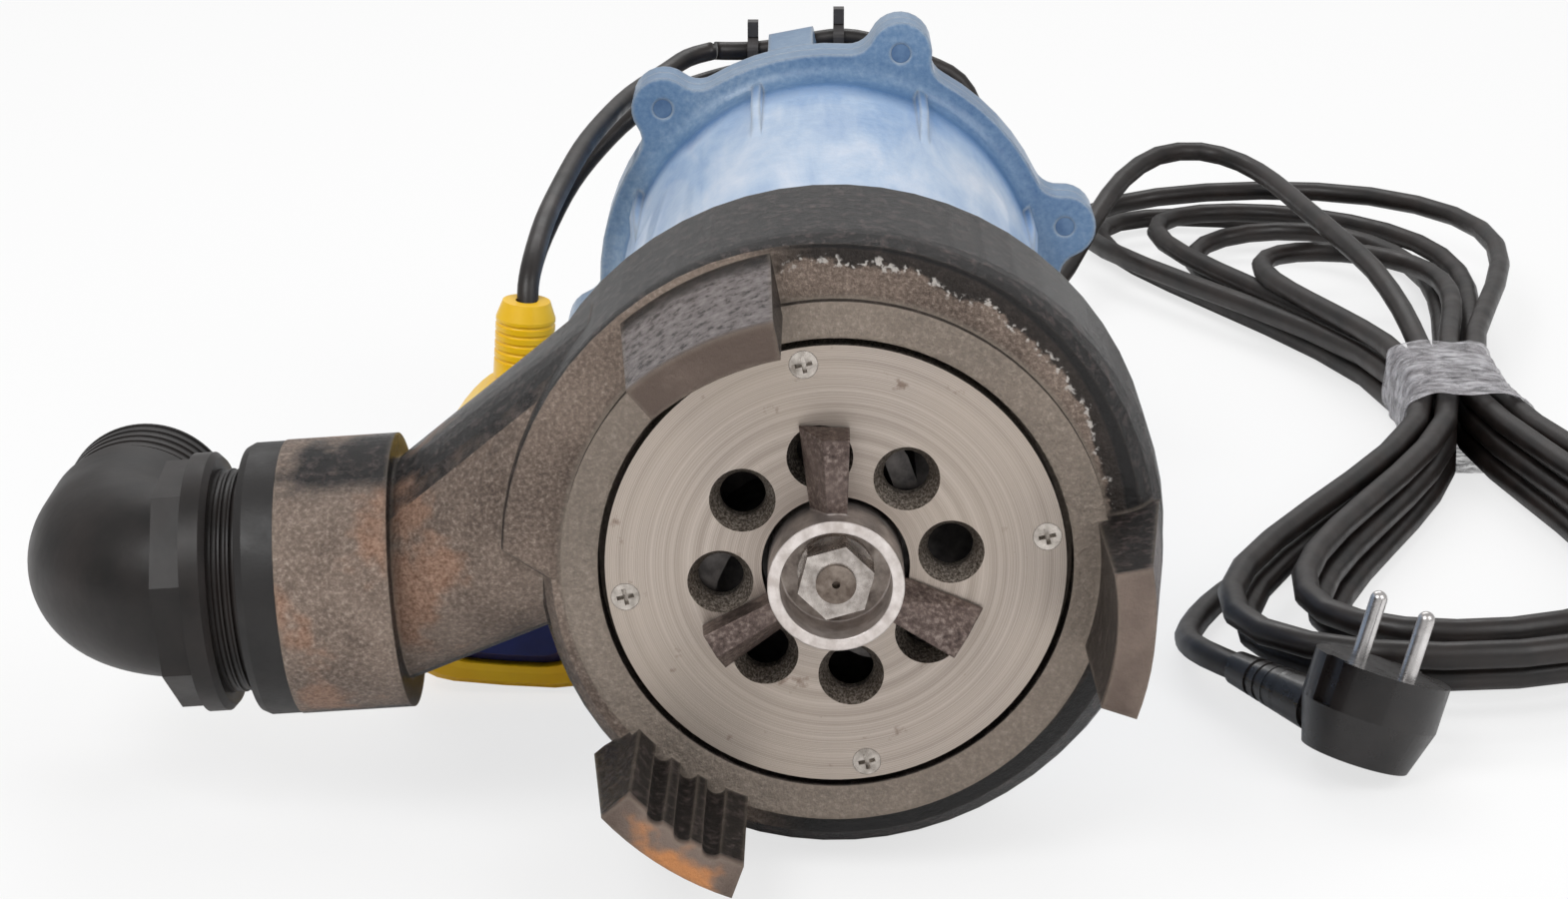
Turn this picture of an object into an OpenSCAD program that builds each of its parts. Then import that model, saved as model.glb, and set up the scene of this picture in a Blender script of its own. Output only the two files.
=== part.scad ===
// Submersible sewage pump with a cutter on its suction end, a float switch and a mains cord.
// The pump lies on its side as it is stored: the shaft runs along +Y, from the suction plate
// to the lifting handle, and the outlet points along -X. Lengths are in millimetres.
// Pieces on the shaft are drawn about it and then laid down. Their places are depths, measured
// from the face of the suction plate towards the handle, and negative in front of that face.
// Angles are seen from the suction end, with the outlet at 180 degrees.

/* [Suction plate] */
// Diameter of the suction plate
plate_d = 115; // [108:1:120]
// Thickness of the suction plate
plate_t = 8; // [6:0.5:10]
// Diameter of the bore round the cutter hub
plate_bore_d = 37; // [36:0.5:42]
// Number of suction holes
hole_count = 8; // [6:1:8]
// Diameter of the circle of suction holes
hole_ring_d = 58; // [54:1:62]
// Diameter of a suction hole at the face
hole_mouth_d = 16.5; // [14:0.5:18]
// Diameter of a suction hole at its narrow end
hole_throat_d = 11.5; // [9:0.5:13]
// Diameter of the circle of plate screws
plate_screw_ring_d = 106.2; // [104:0.2:107]
// Diameter of a plate screw's thread
plate_screw_d = 4; // [3:0.5:4]
// Diameter of a plate screw's head
plate_screw_head_d = 7; // [6:0.5:7.5]

/* [Pump casing] */
// Largest radius of the volute
casing_r = 84; // [80:1:88]
// Depth of the joint between the casing and the motor housing
casing_back = 60; // [58:1:66]
// Wall of the casing
casing_wall = 7; // [6:0.5:8]
// Diameter of the raised rim round the suction plate
rim_d = 137; // [132:1:140]
// Height of the rim above the face of the volute
rim_h = 3; // [2:0.5:4]
// Gap between the suction plate and its recess
recess_gap = 1.8; // [1:0.1:2.5]
// Diameter of the opening behind the suction plate
ledge_d = 98; // [96:1:99]
// Thickness of the ledge that the suction plate sits on
ledge_t = 6; // [5:0.5:8]
// Depth of the back wall of the pumping chamber
chamber_back = 48; // [47:0.5:50]

/* [Feet] */
// How far the feet stand in front of the suction plate
foot_reach = 40; // [32:1:45]
// Outer radius at the tip of a foot
foot_tip_r = 76; // [74:1:79]
// Thickness of a foot at its tip
foot_tip_t = 9; // [7:0.5:11]
// Angle that a foot spans
foot_span = 29; // [24:1:34]

/* [Outlet] */
// Depth of the outlet's axis
outlet_depth = 43.5; // [43:0.5:44]
// How far the outlet's axis passes below the shaft
outlet_drop = 9; // [6:1:10]
// Outer diameter of the threaded collar
collar_d = 72; // [70:1:76]
// Distance from the shaft to the mouth of the collar
collar_end = 142; // [138:1:146]
// Length of the collar
collar_len = 29; // [26:1:32]
// Diameter of the outlet neck
neck_d = 57.2; // [56:0.4:60]
// Diameter of the outlet's flow bore
flow_d = 44; // [40:1:46]
// Thread diameter of the outlet
outlet_thread_d = 59; // [58:0.2:60]

/* [Elbow] */
// Outer diameter of the elbow's tube
elbow_d = 50; // [48:1:52]
// Bore of the elbow
elbow_bore_d = 40; // [36:1:42]
// Radius of the elbow's centre line
elbow_bend_r = 27; // [26:0.5:30]
// Distance from the shaft to the axis of the elbow's rear arm
elbow_axis = 193; // [190:1:196]
// Depth at which the elbow's rear arm ends
elbow_end = 111; // [104:1:116]
// Length of the thread on the rear arm
spigot_thread_len = 23; // [18:1:26]
// Diameter of the thread on the rear arm
spigot_thread_d = 47.8; // [46:0.2:49.4]
// Diameter of the elbow's flange
elbow_flange_d = 68; // [64:1:70]
// Outer diameter of the sealing ring on the outlet
outlet_ring_d = 71.5; // [68:0.5:74]

/* [Motor housing] */
// Outer diameter of the motor barrel
barrel_d = 132; // [130:1:136]
// Diameter of the stator
stator_d = 116; // [112:1:118]
// Depth of the underside of the housing's top flange
flange_front = 268; // [262:1:276]
// Thickness of the housing's top flange
flange_t = 9; // [8:0.5:11]
// Radius of the flange between its ears
flange_r = 74; // [72:0.5:76]
// Diameter of the circle of cover bolts
cover_bolt_ring_d = 154.9; // [152:0.1:158]
// Radius of an ear
ear_r = 10; // [9:0.5:11]
// Diameter of the cover bolts
cover_bolt_d = 6; // [5:0.5:6.5]
// Radius of the flange that joins the casing
foot_flange_r = 78; // [77:0.5:80]
// Number of ribs on the barrel
rib_count = 8; // [6:1:12]
// Width of a rib
rib_w = 3; // [2:0.5:4]
// Height of a rib
rib_h = 2.6; // [2:0.2:4]

/* [Top cover] */
// Thickness of the cover's flange
cover_flange_t = 9; // [8:0.5:11]
// Outer diameter of the cover's dome
dome_d = 120; // [116:1:124]
// Depth of the top of the dome
dome_back = 318; // [316:1:324]
// Wall of the cover
cover_wall = 6; // [5:0.5:7]
// Depth of the top of the lifting handle
handle_back = 357; // [354:1:366]
// Width of the handle
handle_w = 15; // [13:1:17]
// Outer radius of the handle's legs
handle_r = 68; // [67:0.5:70]
// Thickness of the handle's legs
handle_leg_t = 20; // [18:1:21]
// Thickness of the handle's bar
handle_bar_t = 14; // [13:0.5:16]

/* [Shaft and cutter] */
// Diameter of the shaft at the impeller and cutter
shaft_d = 14; // [12:0.5:14.5]
// Diameter of the shaft at the lower bearing
shaft_bearing_d = 20; // [20:1:21]
// Diameter of the shaft at the rotor
shaft_rotor_d = 22; // [22:1:24]
// Thread diameter of the shaft's end
shaft_thread_d = 10; // [8:0.5:10]
// Outer diameter of the cutter's hub
cutter_hub_d = 33.8; // [32:0.2:34]
// How far the cutter's hub stands in front of the plate
cutter_reach = 14; // [13:0.5:16]
// Height of the cutter arms above the plate
arm_h = 9; // [7:0.5:10]
// Radius at the tip of a cutter arm
arm_tip_r = 36.5; // [34:0.5:40]
// Gap between the cutter and the suction plate
cutter_gap = 0.6; // [0.4:0.1:1]
// Width across the flats of the cutter's nut
nut_af = 17; // [15:0.5:17]

/* [Impeller] */
// Diameter of the impeller
impeller_d = 93; // [88:1:94]
// Number of vanes
vane_count = 3; // [2:1:4]
// Height of the vanes
vane_h = 24; // [20:1:25]
// Thickness of a vane
vane_t = 6; // [5:0.5:7]
// Thickness of the impeller's back plate
shroud_t = 5; // [4:0.5:6]

/* [Float switch] */
// Width of the float
float_w = 66; // [62:1:70]
// Height of the float's body
float_h = 90; // [86:1:94]
// Thickness of the float
float_t = 42; // [40:1:44]
// Wall of the float's shells
float_wall = 2.5; // [2:0.5:3]
// Diameter of the switch ball
ball_d = 16; // [14:0.5:17]
// Diameter of the float cable
float_cable_d = 6.2; // [6:0.1:6.6]

/* [Mains cord] */
// Diameter of the mains cord
cord_d = 8; // [7.6:0.1:8]

/* [Hidden] */

// Smoothness of true curves and of faceted forms
$fn = 64;
hull_fn = 32;
// Overrun of every cut past the face that it goes through
over = 1;
// Clearance between fitted pieces of one body
fit = 0.1;
// Clearance of a running fit
run_fit = 0.05;

// How the pump lies: its roll about the shaft, and the place of the origin under its middle
lie_roll = 4;
ear_start = 9.4;
ear_count = 6;
ear_low_angle = ear_start + 4 * 360 / ear_count;
cover_bolt_r = cover_bolt_ring_d / 2;
axis_height = max(casing_r, abs(cover_bolt_r * sin(ear_low_angle + lie_roll)) + ear_r);
reach_right = max(casing_r, cover_bolt_r * cos(ear_start + lie_roll) + ear_r);
reach_left = elbow_axis * cos(lie_roll) - outlet_drop * sin(lie_roll) + elbow_d / 2;
mid_x = (reach_right - reach_left) / 2;
mid_depth = (handle_back - foot_reach) / 2;

// Casing
plate_r = plate_d / 2;
recess_r = plate_r + recess_gap;
rim_r = rim_d / 2;
face_depth = rim_h;
casing_rear_round = 4;
shoulder_depth_share = 1.7;
shoulder_least = 3;
plate_screw_start = 4.8;
screw_head_h = 2.4;
screw_cross_w = 1.1;
screw_cross_h = 1.4;
screw_len = 13;
hole_start = 4;
hole_cone_share = 0.65;
casing_bolt_r = 72.8;
casing_bolt_d = 6;
casing_bolt_start = 41;
casing_bolt_head_d = 9;
casing_bolt_head_h = 6;
casing_bolt_grip = 11;
back_flange_t = 12;

// Reach of the volute by angle, and where its face gives way to the shoulder, as shares of
// the largest radius
reach_shares = [[-180, 0.9], [-160, 0.915], [-145, 0.94], [-130, 0.975], [-112, 1], [180, 1]];
face_shares = [[-180, 0.82], [-60, 0.82], [-30, 0.835], [0, 0.86], [18, 0.885], [38, 0.92],
    [58, 0.953], [88, 0.965], [110, 0.985], [180, 0.985]];

// Outlet
neck_root_x = 50;
neck_root_up = 27;
neck_root_w = 58;
neck_root_h = 68;
neck_root_depth = 31.5;
neck_root_t = 16;
neck_corner_r = 22;
neck_root_slant = 8;
thread_len = 24;
outlet_ring_t = 10;
elbow_collar_d = 60;
elbow_collar_len = 8;
elbow_flange_t = 6.5;
elbow_flange_chamfer = 1.5;
thread_groove_depth = 1.2;
thread_pitch = 2.3;
thread_show = 8;
spigot_groove_count = 5;

// Feet
foot_start = 112;
foot_count = 3;
foot_root_inner_r = 66;
foot_root_depth = 9;
flute_r = 2.6;
flute_step = 7;

// Seal plate and mechanical seal
spigot_r = 60;
seal_flange_r = 68;
seal_flange_t = 6;
seal_bore_r = 14;
seal_seat_t = 8;
seal_shaft_d = 16;
ring_section_d = 3;
seal_face_t = 6;
seal_spring_len = 14;
seal_spring_turns = 4;
seal_wire_d = 2;
shaft_gap = 2;

// Housing
foot_flange_t = 10;
oil_chamber_r = 44;
bearing_wall_front = 92;
motor_bore_front = 118;
barrel_fillet = 6;
rib_start = 16;
rib_len = 78;
foot_fillet = 2;
ear_fillet = 8;
oil_plug_d = 12;
oil_plug_len = 22;
oil_plug_angle = -96;
lower_bearing_front = 100;
lower_bearing_t = 14;
lower_bearing_d = 47;
upper_bearing_front = 244;
upper_bearing_t = 14;
upper_bearing_d = 47;
upper_bearing_bore_d = 20;
lip_seal_t = 7;
lip_seal_d = 35;
ring_share = 0.3;

// Motor
core_front = 140;
core_len = 80;
rotor_r = 31.5;
air_gap = 0.5;
slot_count = 24;
slot_depth = 13;
slot_w = 5;
slot_lip = 1.5;
winding_rise = 14;
winding_wall = 13;
bar_count = 16;
bar_d = 5;
end_ring_t = 6;
shaft_shoulder_len = 6;
shaft_shoulder_d = 25;
bracket_t = 6;
bracket_hub_wall = 5;

// Cover
dome_round = 10;
handle_angle = 97;
handle_corner_r = 16;
handle_inner_r = 9;
eye_w = 6.8;
eye_len = 15;
eye_radial = 58.1;
eye_depth = 350;
capacitor_d = 34;
capacitor_len = 70;
capacitor_x = 12;
cover_ring_section = 2.4;
bolt_head_h = 6;
bolt_head_d = 10;
bolt_socket_af = 5;
bolt_len = 24;
gland_d = 20;
gland_len = 12;
gland_nut_len = 14;
mains_gland_x = 30.2;
mains_gland_up = -20.2;
float_gland_angle = 201;
float_gland_depth = 300;

// Shaft places
tip_depth = -13;
nut_back = -4;
nut_t = 8;
washer_t = 2;
web_front = nut_back + washer_t;
vane_gap = 1;
impeller_front = plate_t + vane_gap;
shroud_front = impeller_front + vane_h;
impeller_back = shroud_front + shroud_t;
hub_back = 47;
hub_r = 13;
recess_wall = 3;
key_w = 5;
key_h = 5;
cutter_arm_start = 86;
shaft_back = 260;

// Float, in its own frame: upright, X to the right and depth away from the viewer
float_x = -95;
float_depth = 118;
float_lean = 4;
float_top_share = 0.38;
float_taper = 1.5;
float_round = 13;
float_gland_d = 17;
float_gland_len = 24;
float_gland_base = 14;
float_gland_ribs = 5;
float_seam = 8;
rim_reach = 5;
rim_round = 6;
cap_inset = 8;
cap_gap = 0.4;
cap_round = 6;
cap_flange_t = 2;
ball_travel = 14;
race_wall = 1.6;
plunger_d = 3;
plunger_len = 6;
plunger_travel = 1.2;

// Routes of the cables, in the laid-down frame, with the height above the floor last
float_cable_route = [
    [-21, -19, 111], [-21, -16, 117], [-20, -8, 123], [-18, 12, 129], [-15, 37, 133],
    [-11, 72, 136], [-6, 107, 137], [1, 142, 138], [11, 167, 140], [18, 181, 142], [26, 188, 143]
];
float_slack_route = [
    [27.2, 188.6, 143], [33, 190.5, 142.5], [40, 191.5, 142.5], [47, 191.5, 143.3], [54, 191.5, 144.6],
    [61, 191.5, 146], [69, 191.5, 147], [78, 191.5, 146], [88, 191.5, 142], [98, 191.5, 138.5],
    [110, 191.5, 132], [116, 191.5, 119], [111, 191.5, 105], [97, 191.5, 99], [83, 191.5, 105],
    [77, 191.5, 118], [76.5, 191.5, 129], [73, 191.5, 137.5], [67, 191.5, 140.2], [61, 191.5, 139],
    [55, 191.5, 137.8], [48, 191.5, 136.5], [41, 191.5, 135.8], [33, 191, 134.5], [22, 188, 132],
    [11, 182, 129], [-1, 175, 123], [-11, 165, 115], [-20, 156, 105], [-27, 148, 93], [-32, 143, 81],
    [-34, 141.5, 69], [-31, 141.5, 59], [-24, 141.5, 52], [-14, 141.5, 49], [-5.5, 141.5, 51],
    [4, 141.5, 55.4]
];
mains_route = [
    [96, 164, 64], [96, 176, 64], [96, 190, 64], [97, 205, 62], [101, 230, 51], [108, 256, 34],
    [118, 283, 18], [132, 310, 9], [148, 336, 12], [162, 364, 20], [176, 404, 30], [190, 440, 37],
    [207, 466, 41], [226, 474, 41], [242, 462, 39], [252, 434, 37.5], [259, 394, 37], [267, 350, 36],
    [275, 310, 33.5], [280, 275, 28], [281.6, 248, 23.4], [281.6, 228, 22.6]
];

// The hank is tied at its waist and has a lobe on each side, all loops lying the same way
hank_x = 286;
hank_y = 206;
hank_step = 8.8;
hank_low = 5;
waist_len = 44;
lobe_rings = 24;
lobe_swell = 1.16;
near_lean = 0.0008;
far_lean = 0.0008;
// Each lobe: length, half width, and column and layer of its strands at the waist
near_lobes = [
    [228, 50, -0.5, 2, 0.5, 2], [246, 64, -1.5, 2, 1.5, 2], [240, 60, -1.5, 1, 1.5, 1],
    [222, 46, -0.5, 1, 0.5, 1], [216, 42, -0.5, 0, 0.5, 0]
];
far_lobes = [
    [150, 27, 0.5, 2, -1.5, 2], [262, 69, 1.5, 2, -1.5, 1], [248, 47, 1.5, 1, -0.5, 1],
    [226, 36, 0.5, 1, -0.5, 0], [274, 52, 0.5, 0, -1.5, 0]
];
// Where the last strand leaves the hank and turns round to the plug
tail_route = [
    [265, 160, 5], [252, 128, 5], [234, 98, 5], [213, 70, 5], [195, 46, 5], [182, 24, 5],
    [174, 4, 5.2], [171.5, -14, 8], [174, -33, 11.8], [181.8, -46.7, 12.8], [185.8, -52.8, 12.8],
    [190.1, -59.5, 12.8]
];

// Plug: pins up, leaning back on its edge
plug_x = 216;
plug_y = -88;
plug_turn = -57;
plug_lean = -20;
plug_d = 38;
plug_face_t = 13;
plug_back_d = 30;
plug_back_t = 13;
pin_d = 4.8;
pin_len = 19;
pin_spacing = 19;
pin_shank_share = 0.75;
boot_len = 34;
boot_d = 15;
boot_level = 18;
boot_grooves = 4;
boot_step = 2;
boot_taper = 0.45;
boot_groove_w = 1.6;
tape_t = 0.8;

// Building blocks

// Lays pieces that are drawn about the shaft down on their side
module lay_down() {
    translate([-mid_x, -mid_depth, axis_height]) rotate([90, 0, 0]) rotate([0, 0, lie_roll]) children();
}

// Moves a piece to a depth behind the face of the suction plate
module at(depth) {
    translate([0, 0, -depth]) children();
}

// A disc between two depths
module disc(r, front, back) {
    translate([0, 0, -back]) cylinder(r = r, h = back - front);
}

// A solid of revolution whose outline is given as [radius, depth] points
module turned(outline) {
    rotate_extrude() polygon([for (p = outline) [p[0], -p[1]]]);
}

// A tube between two depths
module sleeve(outer, inner, front, back) {
    difference() {
        disc(outer, front, back);
        disc(inner, front - over, back + over);
    }
}

// Copies evenly round the shaft
module around(count, start = 0) {
    for (i = [0 : count - 1]) rotate([0, 0, start + i * 360 / count]) children();
}

// Points of an arc as [radius, depth]
function arc(centre, r, from, to, steps) =
    [for (i = [0 : steps]) let (t = from + (to - from) * i / steps)
        [centre[0] + r * cos(t), centre[1] + r * sin(t)]];

// A closed skin through rings of points, each ring as long as the last, with fans over its ends
function middle(ring) = [for (p = ring) 1] * ring / len(ring);
module loft(rings) {
    n = len(rings[0]);
    last = len(rings) - 1;
    cap = (last + 1) * n;
    polyhedron(
        points = concat([for (ring = rings) each ring], [middle(rings[0]), middle(rings[last])]),
        faces = concat(
            [for (i = [0 : n - 1]) [(i + 1) % n, i, cap]],
            [for (k = [0 : last - 1], i = [0 : n - 1])
                each [[k * n + i, (k + 1) * n + (i + 1) % n, (k + 1) * n + i],
                      [k * n + i, k * n + (i + 1) % n, (k + 1) * n + (i + 1) % n]]],
            [for (i = [0 : n - 1]) [last * n + i, last * n + (i + 1) % n, cap + 1]]
        )
    );
}

// Vector helpers and a tube swept along points
function unit(v) = v / norm(v);
function tangent(path, i) =
    unit(path[min(i + 1, len(path) - 1)] - path[max(i - 1, 0)]);
function side_of(t, hint) = unit(cross(t, hint));
function tube_ring(centre, t, side, r, n) =
    let (up = cross(side, t))
    [for (k = [0 : n - 1]) centre + r * (cos(k * 360 / n) * side + sin(k * 360 / n) * up)];
function carried(side, t) = unit(side - (side * t) * t);
function sides(path, i = 0, out = []) =
    i == len(path) ? out
    : sides(path, i + 1, concat(out, [i == 0 ? side_of(tangent(path, 0), start_hint(path))
        : carried(out[i - 1], tangent(path, i))]));
function start_hint(path) =
    abs(tangent(path, 0)[2]) > 0.9 ? [1, 0, 0] : [0, 0, 1];
module tube(path, d, n) {
    turned_sides = sides(path);
    loft([for (i = [0 : len(path) - 1]) tube_ring(path[i], tangent(path, i), turned_sides[i], d / 2, n)]);
}

// A smooth curve through points
function spline_point(a, b, c, d, t) =
    0.5 * ((2 * b) + (c - a) * t + (2 * a - 5 * b + 4 * c - d) * t * t
        + (3 * b - a - 3 * c + d) * t * t * t);
function smooth(points, steps) =
    let (last = len(points) - 1)
    concat(
        [for (i = [0 : last - 1], k = [0 : steps - 1])
            spline_point(points[max(i - 1, 0)], points[i], points[i + 1], points[min(i + 2, last)],
                k / steps)],
        [points[last]]
    );

// Casing

function reach_at(t) = casing_r * lookup(t, reach_shares);
function face_at(t) = casing_r * lookup(t, face_shares);
volute_step = 6;
volute_angles = [for (t = [-180 : volute_step : 179]) t];
function volute_ring(inset, depth, share) =
    [for (t = volute_angles)
        let (from = face_at(t) - inset, to = reach_at(t) - inset, r = from + (to - from) * share)
        [r * cos(t), r * sin(t), -depth]];
function shoulder_ring(inset, turn, front) =
    [for (t = volute_angles)
        let (from = face_at(t) - inset, to = reach_at(t) - inset,
            depth = front + (1 - cos(turn)) * ((to - from) * shoulder_depth_share + shoulder_least),
            r = from + (to - from) * sin(turn))
        [r * cos(t), r * sin(t), -depth]];
function rear_ring(inset, depth) =
    [for (t = volute_angles) let (r = reach_at(t) - inset) [r * cos(t), r * sin(t), -depth]];

module volute() {
    loft([
        shoulder_ring(0, 0, face_depth), shoulder_ring(0, 22, face_depth),
        shoulder_ring(0, 45, face_depth), shoulder_ring(0, 67, face_depth),
        shoulder_ring(0, 90, face_depth), rear_ring(0, casing_back - casing_rear_round),
        rear_ring(casing_rear_round, casing_back)
    ]);
}

module volute_cavity() {
    front = plate_t + ledge_t;
    loft([
        shoulder_ring(casing_wall, 0, front), shoulder_ring(casing_wall, 45, front),
        shoulder_ring(casing_wall, 90, front), rear_ring(casing_wall, chamber_back)
    ]);
}

// Places children along the outlet: +Z points out of its mouth from the shaft
module along_outlet() {
    translate([0, -outlet_drop, -outlet_depth]) rotate([0, -90, 0]) children();
}

// The neck flares from the round outlet into the tangential throat of the volute
module neck(inset, reach) {
    hull() {
        along_outlet() translate([0, 0, reach - over]) cylinder(r = neck_d / 2 - inset, h = over, $fn = hull_fn);
        translate([-neck_root_x, neck_root_up, -neck_root_depth])
            rotate([0, 90, 0]) rounded_box(neck_root_w - 2 * inset, neck_root_h - 2 * inset,
                neck_root_t, neck_corner_r - inset);
    }
}

// A box with four rounded edges along Z, centred
module rounded_box(x, y, z, r) {
    for (sx = [-1, 1], sy = [-1, 1])
        translate([sx * (x / 2 - r), sy * (y / 2 - r), 0])
            cylinder(r = r, h = z, center = true, $fn = hull_fn);
}

module foot() {
    foot_root_outer = casing_r - casing_wall / 4;
    rotate([0, 0, -foot_span / 2]) rotate_extrude(angle = foot_span)
        polygon([
            [foot_tip_r - foot_tip_t, foot_reach], [foot_tip_r, foot_reach],
            [foot_root_outer, -foot_root_depth], [foot_root_outer - casing_wall / 2, -foot_root_depth],
            [foot_root_inner_r, -face_depth], [foot_root_inner_r, face_depth]
        ]);
}

module flutes() {
    for (s = [-1, 0, 1]) rotate([0, 0, foot_start + 120 + s * flute_step])
        translate([foot_root_inner_r, 0, 0]) cylinder(r = flute_r, h = foot_reach + over);
}

module pump_casing() color("dimgray") lay_down() difference() {
    union() {
        volute();
        disc(rim_r, 0, face_depth + over);
        neck(0, collar_end - collar_len + over);
        along_outlet() translate([0, 0, collar_end - collar_len]) cylinder(d = collar_d, h = collar_len);
        disc(foot_flange_r, casing_back - back_flange_t, casing_back);
        around(foot_count, foot_start) foot();
    }
    volute_cavity();
    disc(recess_r, -over, plate_t);
    disc(ledge_d / 2, plate_t - over, plate_t + ledge_t + over);
    disc(spigot_r, chamber_back - over, casing_back + over);
    disc(foot_flange_r + fit, casing_back, casing_back + 2 * foot_flange_t);
    neck(casing_wall, collar_end - collar_len);
    along_outlet() translate([0, 0, neck_root_x]) cylinder(d = flow_d, h = collar_end);
    along_outlet() translate([0, 0, collar_end - thread_len])
        cylinder(d = outlet_thread_d, h = thread_len + over);
    around(4, plate_screw_start) translate([plate_screw_ring_d / 2, 0, 0])
        disc(plate_screw_d / 2 + run_fit, plate_t - over, screw_len);
    around(4, casing_bolt_start) translate([casing_bolt_r, 0, 0])
        disc(casing_bolt_d / 2 + run_fit, casing_back - casing_bolt_grip, casing_back + over);
    flutes();
}

// Suction plate and its screws

module suction_hole() {
    cone_t = plate_t * hole_cone_share;
    translate([0, 0, -cone_t]) cylinder(d1 = hole_throat_d, d2 = hole_mouth_d, h = cone_t);
    translate([0, 0, 0]) disc(hole_mouth_d / 2, -over, 0);
    disc(hole_throat_d / 2, cone_t - over, plate_t + over);
}

module suction_plate() color("tan") lay_down() difference() {
    disc(plate_r, 0, plate_t);
    disc(plate_bore_d / 2, -over, plate_t + over);
    around(hole_count, hole_start) translate([hole_ring_d / 2, 0, 0]) suction_hole();
    around(4, plate_screw_start) translate([plate_screw_ring_d / 2, 0, 0]) {
        disc(plate_screw_d / 2 + run_fit, -over, plate_t + over);
        disc(plate_screw_head_d / 2 + fit, -over, screw_head_h);
    }
}

module plate_screws() color("silver") lay_down() around(4, plate_screw_start)
    translate([plate_screw_ring_d / 2, 0, 0]) difference() {
        union() {
            disc(plate_screw_head_d / 2, 0, screw_head_h - fit);
            disc(plate_screw_d / 2, screw_head_h - fit - over, screw_len - over);
        }
        for (turn = [0, 90]) rotate([0, 0, turn + hole_start])
            translate([0, 0, -screw_cross_h / 2]) cube([plate_screw_head_d * 0.62, screw_cross_w,
                screw_cross_h + over], center = true);
    }

// Back wall of the chamber, its ring and the bolts

module seal_plate() color("slategray") lay_down() difference() {
    union() {
        disc(spigot_r - fit, chamber_back, casing_back);
        disc(seal_flange_r - fit, casing_back, casing_back + seal_flange_t);
    }
    disc(seal_bore_r, chamber_back + casing_rear_round, casing_back + seal_flange_t + over);
    disc(seal_shaft_d / 2 + over, chamber_back - over, casing_back);
    at(casing_back - ring_section_d) rotate_extrude() translate([spigot_r - ring_section_d / 2, 0])
        circle(d = ring_section_d + 2 * fit);
    sleeve(spigot_r + over, spigot_r - ring_section_d / 2, casing_back - ring_section_d * 1.5,
        casing_back - ring_section_d * 0.5);
}

module casing_ring() color("black") lay_down() at(casing_back - ring_section_d) rotate_extrude()
    translate([spigot_r - ring_section_d / 2, 0]) circle(d = ring_section_d - 2 * fit);

module socket_bolt(d, head_d, head_h, length) {
    difference() {
        union() {
            cylinder(d = head_d, h = head_h);
            translate([0, 0, -length]) cylinder(d = d, h = length + over);
        }
        translate([0, 0, head_h / 2]) cylinder(d = d, h = head_h, $fn = 6);
    }
}

module casing_bolts() color("silver") lay_down() around(4, casing_bolt_start)
    translate([casing_bolt_r, 0, -casing_back - foot_flange_t]) rotate([180, 0, 0])
        socket_bolt(casing_bolt_d, casing_bolt_head_d, casing_bolt_head_h,
            foot_flange_t + casing_bolt_grip - over);

// Mechanical seal

module seal_seat() color("ivory") lay_down()
    sleeve(seal_bore_r - fit, seal_shaft_d / 2 + over, chamber_back + casing_rear_round,
        chamber_back + casing_rear_round + seal_seat_t);

seal_face_front = chamber_back + casing_rear_round + seal_seat_t + run_fit;
module seal_face() color("dimgray") lay_down()
    sleeve(seal_bore_r - shaft_gap, seal_shaft_d / 2 + run_fit, seal_face_front, seal_face_front + seal_face_t);

module seal_spring() color("silver") lay_down() {
    from = seal_face_front + seal_face_t + seal_wire_d / 2;
    coil_r = seal_shaft_d / 2 + seal_wire_d * 1.2;
    steps = seal_spring_turns * 12;
    tube([for (i = [0 : steps])
        [coil_r * cos(i * 30), coil_r * sin(i * 30), -from - (seal_spring_len - seal_wire_d) * i / steps]],
        seal_wire_d, 6);
}

// Motor housing

// Flange outline with an ear at each bolt and a fillet on both sides of each ear
function swept(centre, r, from, to, steps, first = 0) =
    [for (i = [first : steps - first]) let (t = from + (to - from) * i / steps)
        [centre[0] + r * cos(t), centre[1] + r * sin(t)]];
function ear_points(r, start) =
    let (fillet_at = r + ear_fillet, far = ear_r + ear_fillet,
        swing = acos((fillet_at * fillet_at + cover_bolt_r * cover_bolt_r - far * far)
            / (2 * fillet_at * cover_bolt_r)),
        turn = atan2(fillet_at * sin(swing), cover_bolt_r - fillet_at * cos(swing)),
        low = [fillet_at * cos(start - swing), fillet_at * sin(start - swing)],
        ear = [cover_bolt_r * cos(start), cover_bolt_r * sin(start)],
        high = [fillet_at * cos(start + swing), fillet_at * sin(start + swing)])
    concat(
        swept(low, ear_fillet, start - swing + 180, start + turn, 5),
        swept(ear, ear_r, start + turn - 180, start - turn + 180, 12, 1),
        swept(high, ear_fillet, start - turn, start + swing - 180, 5),
        swept([0, 0], r, start + swing, start + 360 / ear_count - swing, 6, 1)
    );
module eared_outline(r) {
    polygon([for (i = [0 : ear_count - 1]) each ear_points(r, ear_start + i * 360 / ear_count)]);
}

module eared_plate(r, front, back) {
    translate([0, 0, -back]) linear_extrude(back - front) eared_outline(r);
}

barrel_r = barrel_d / 2;
stator_r = stator_d / 2;
foot_flange_back = casing_back + foot_flange_t;
flange_back = flange_front + flange_t;

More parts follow.
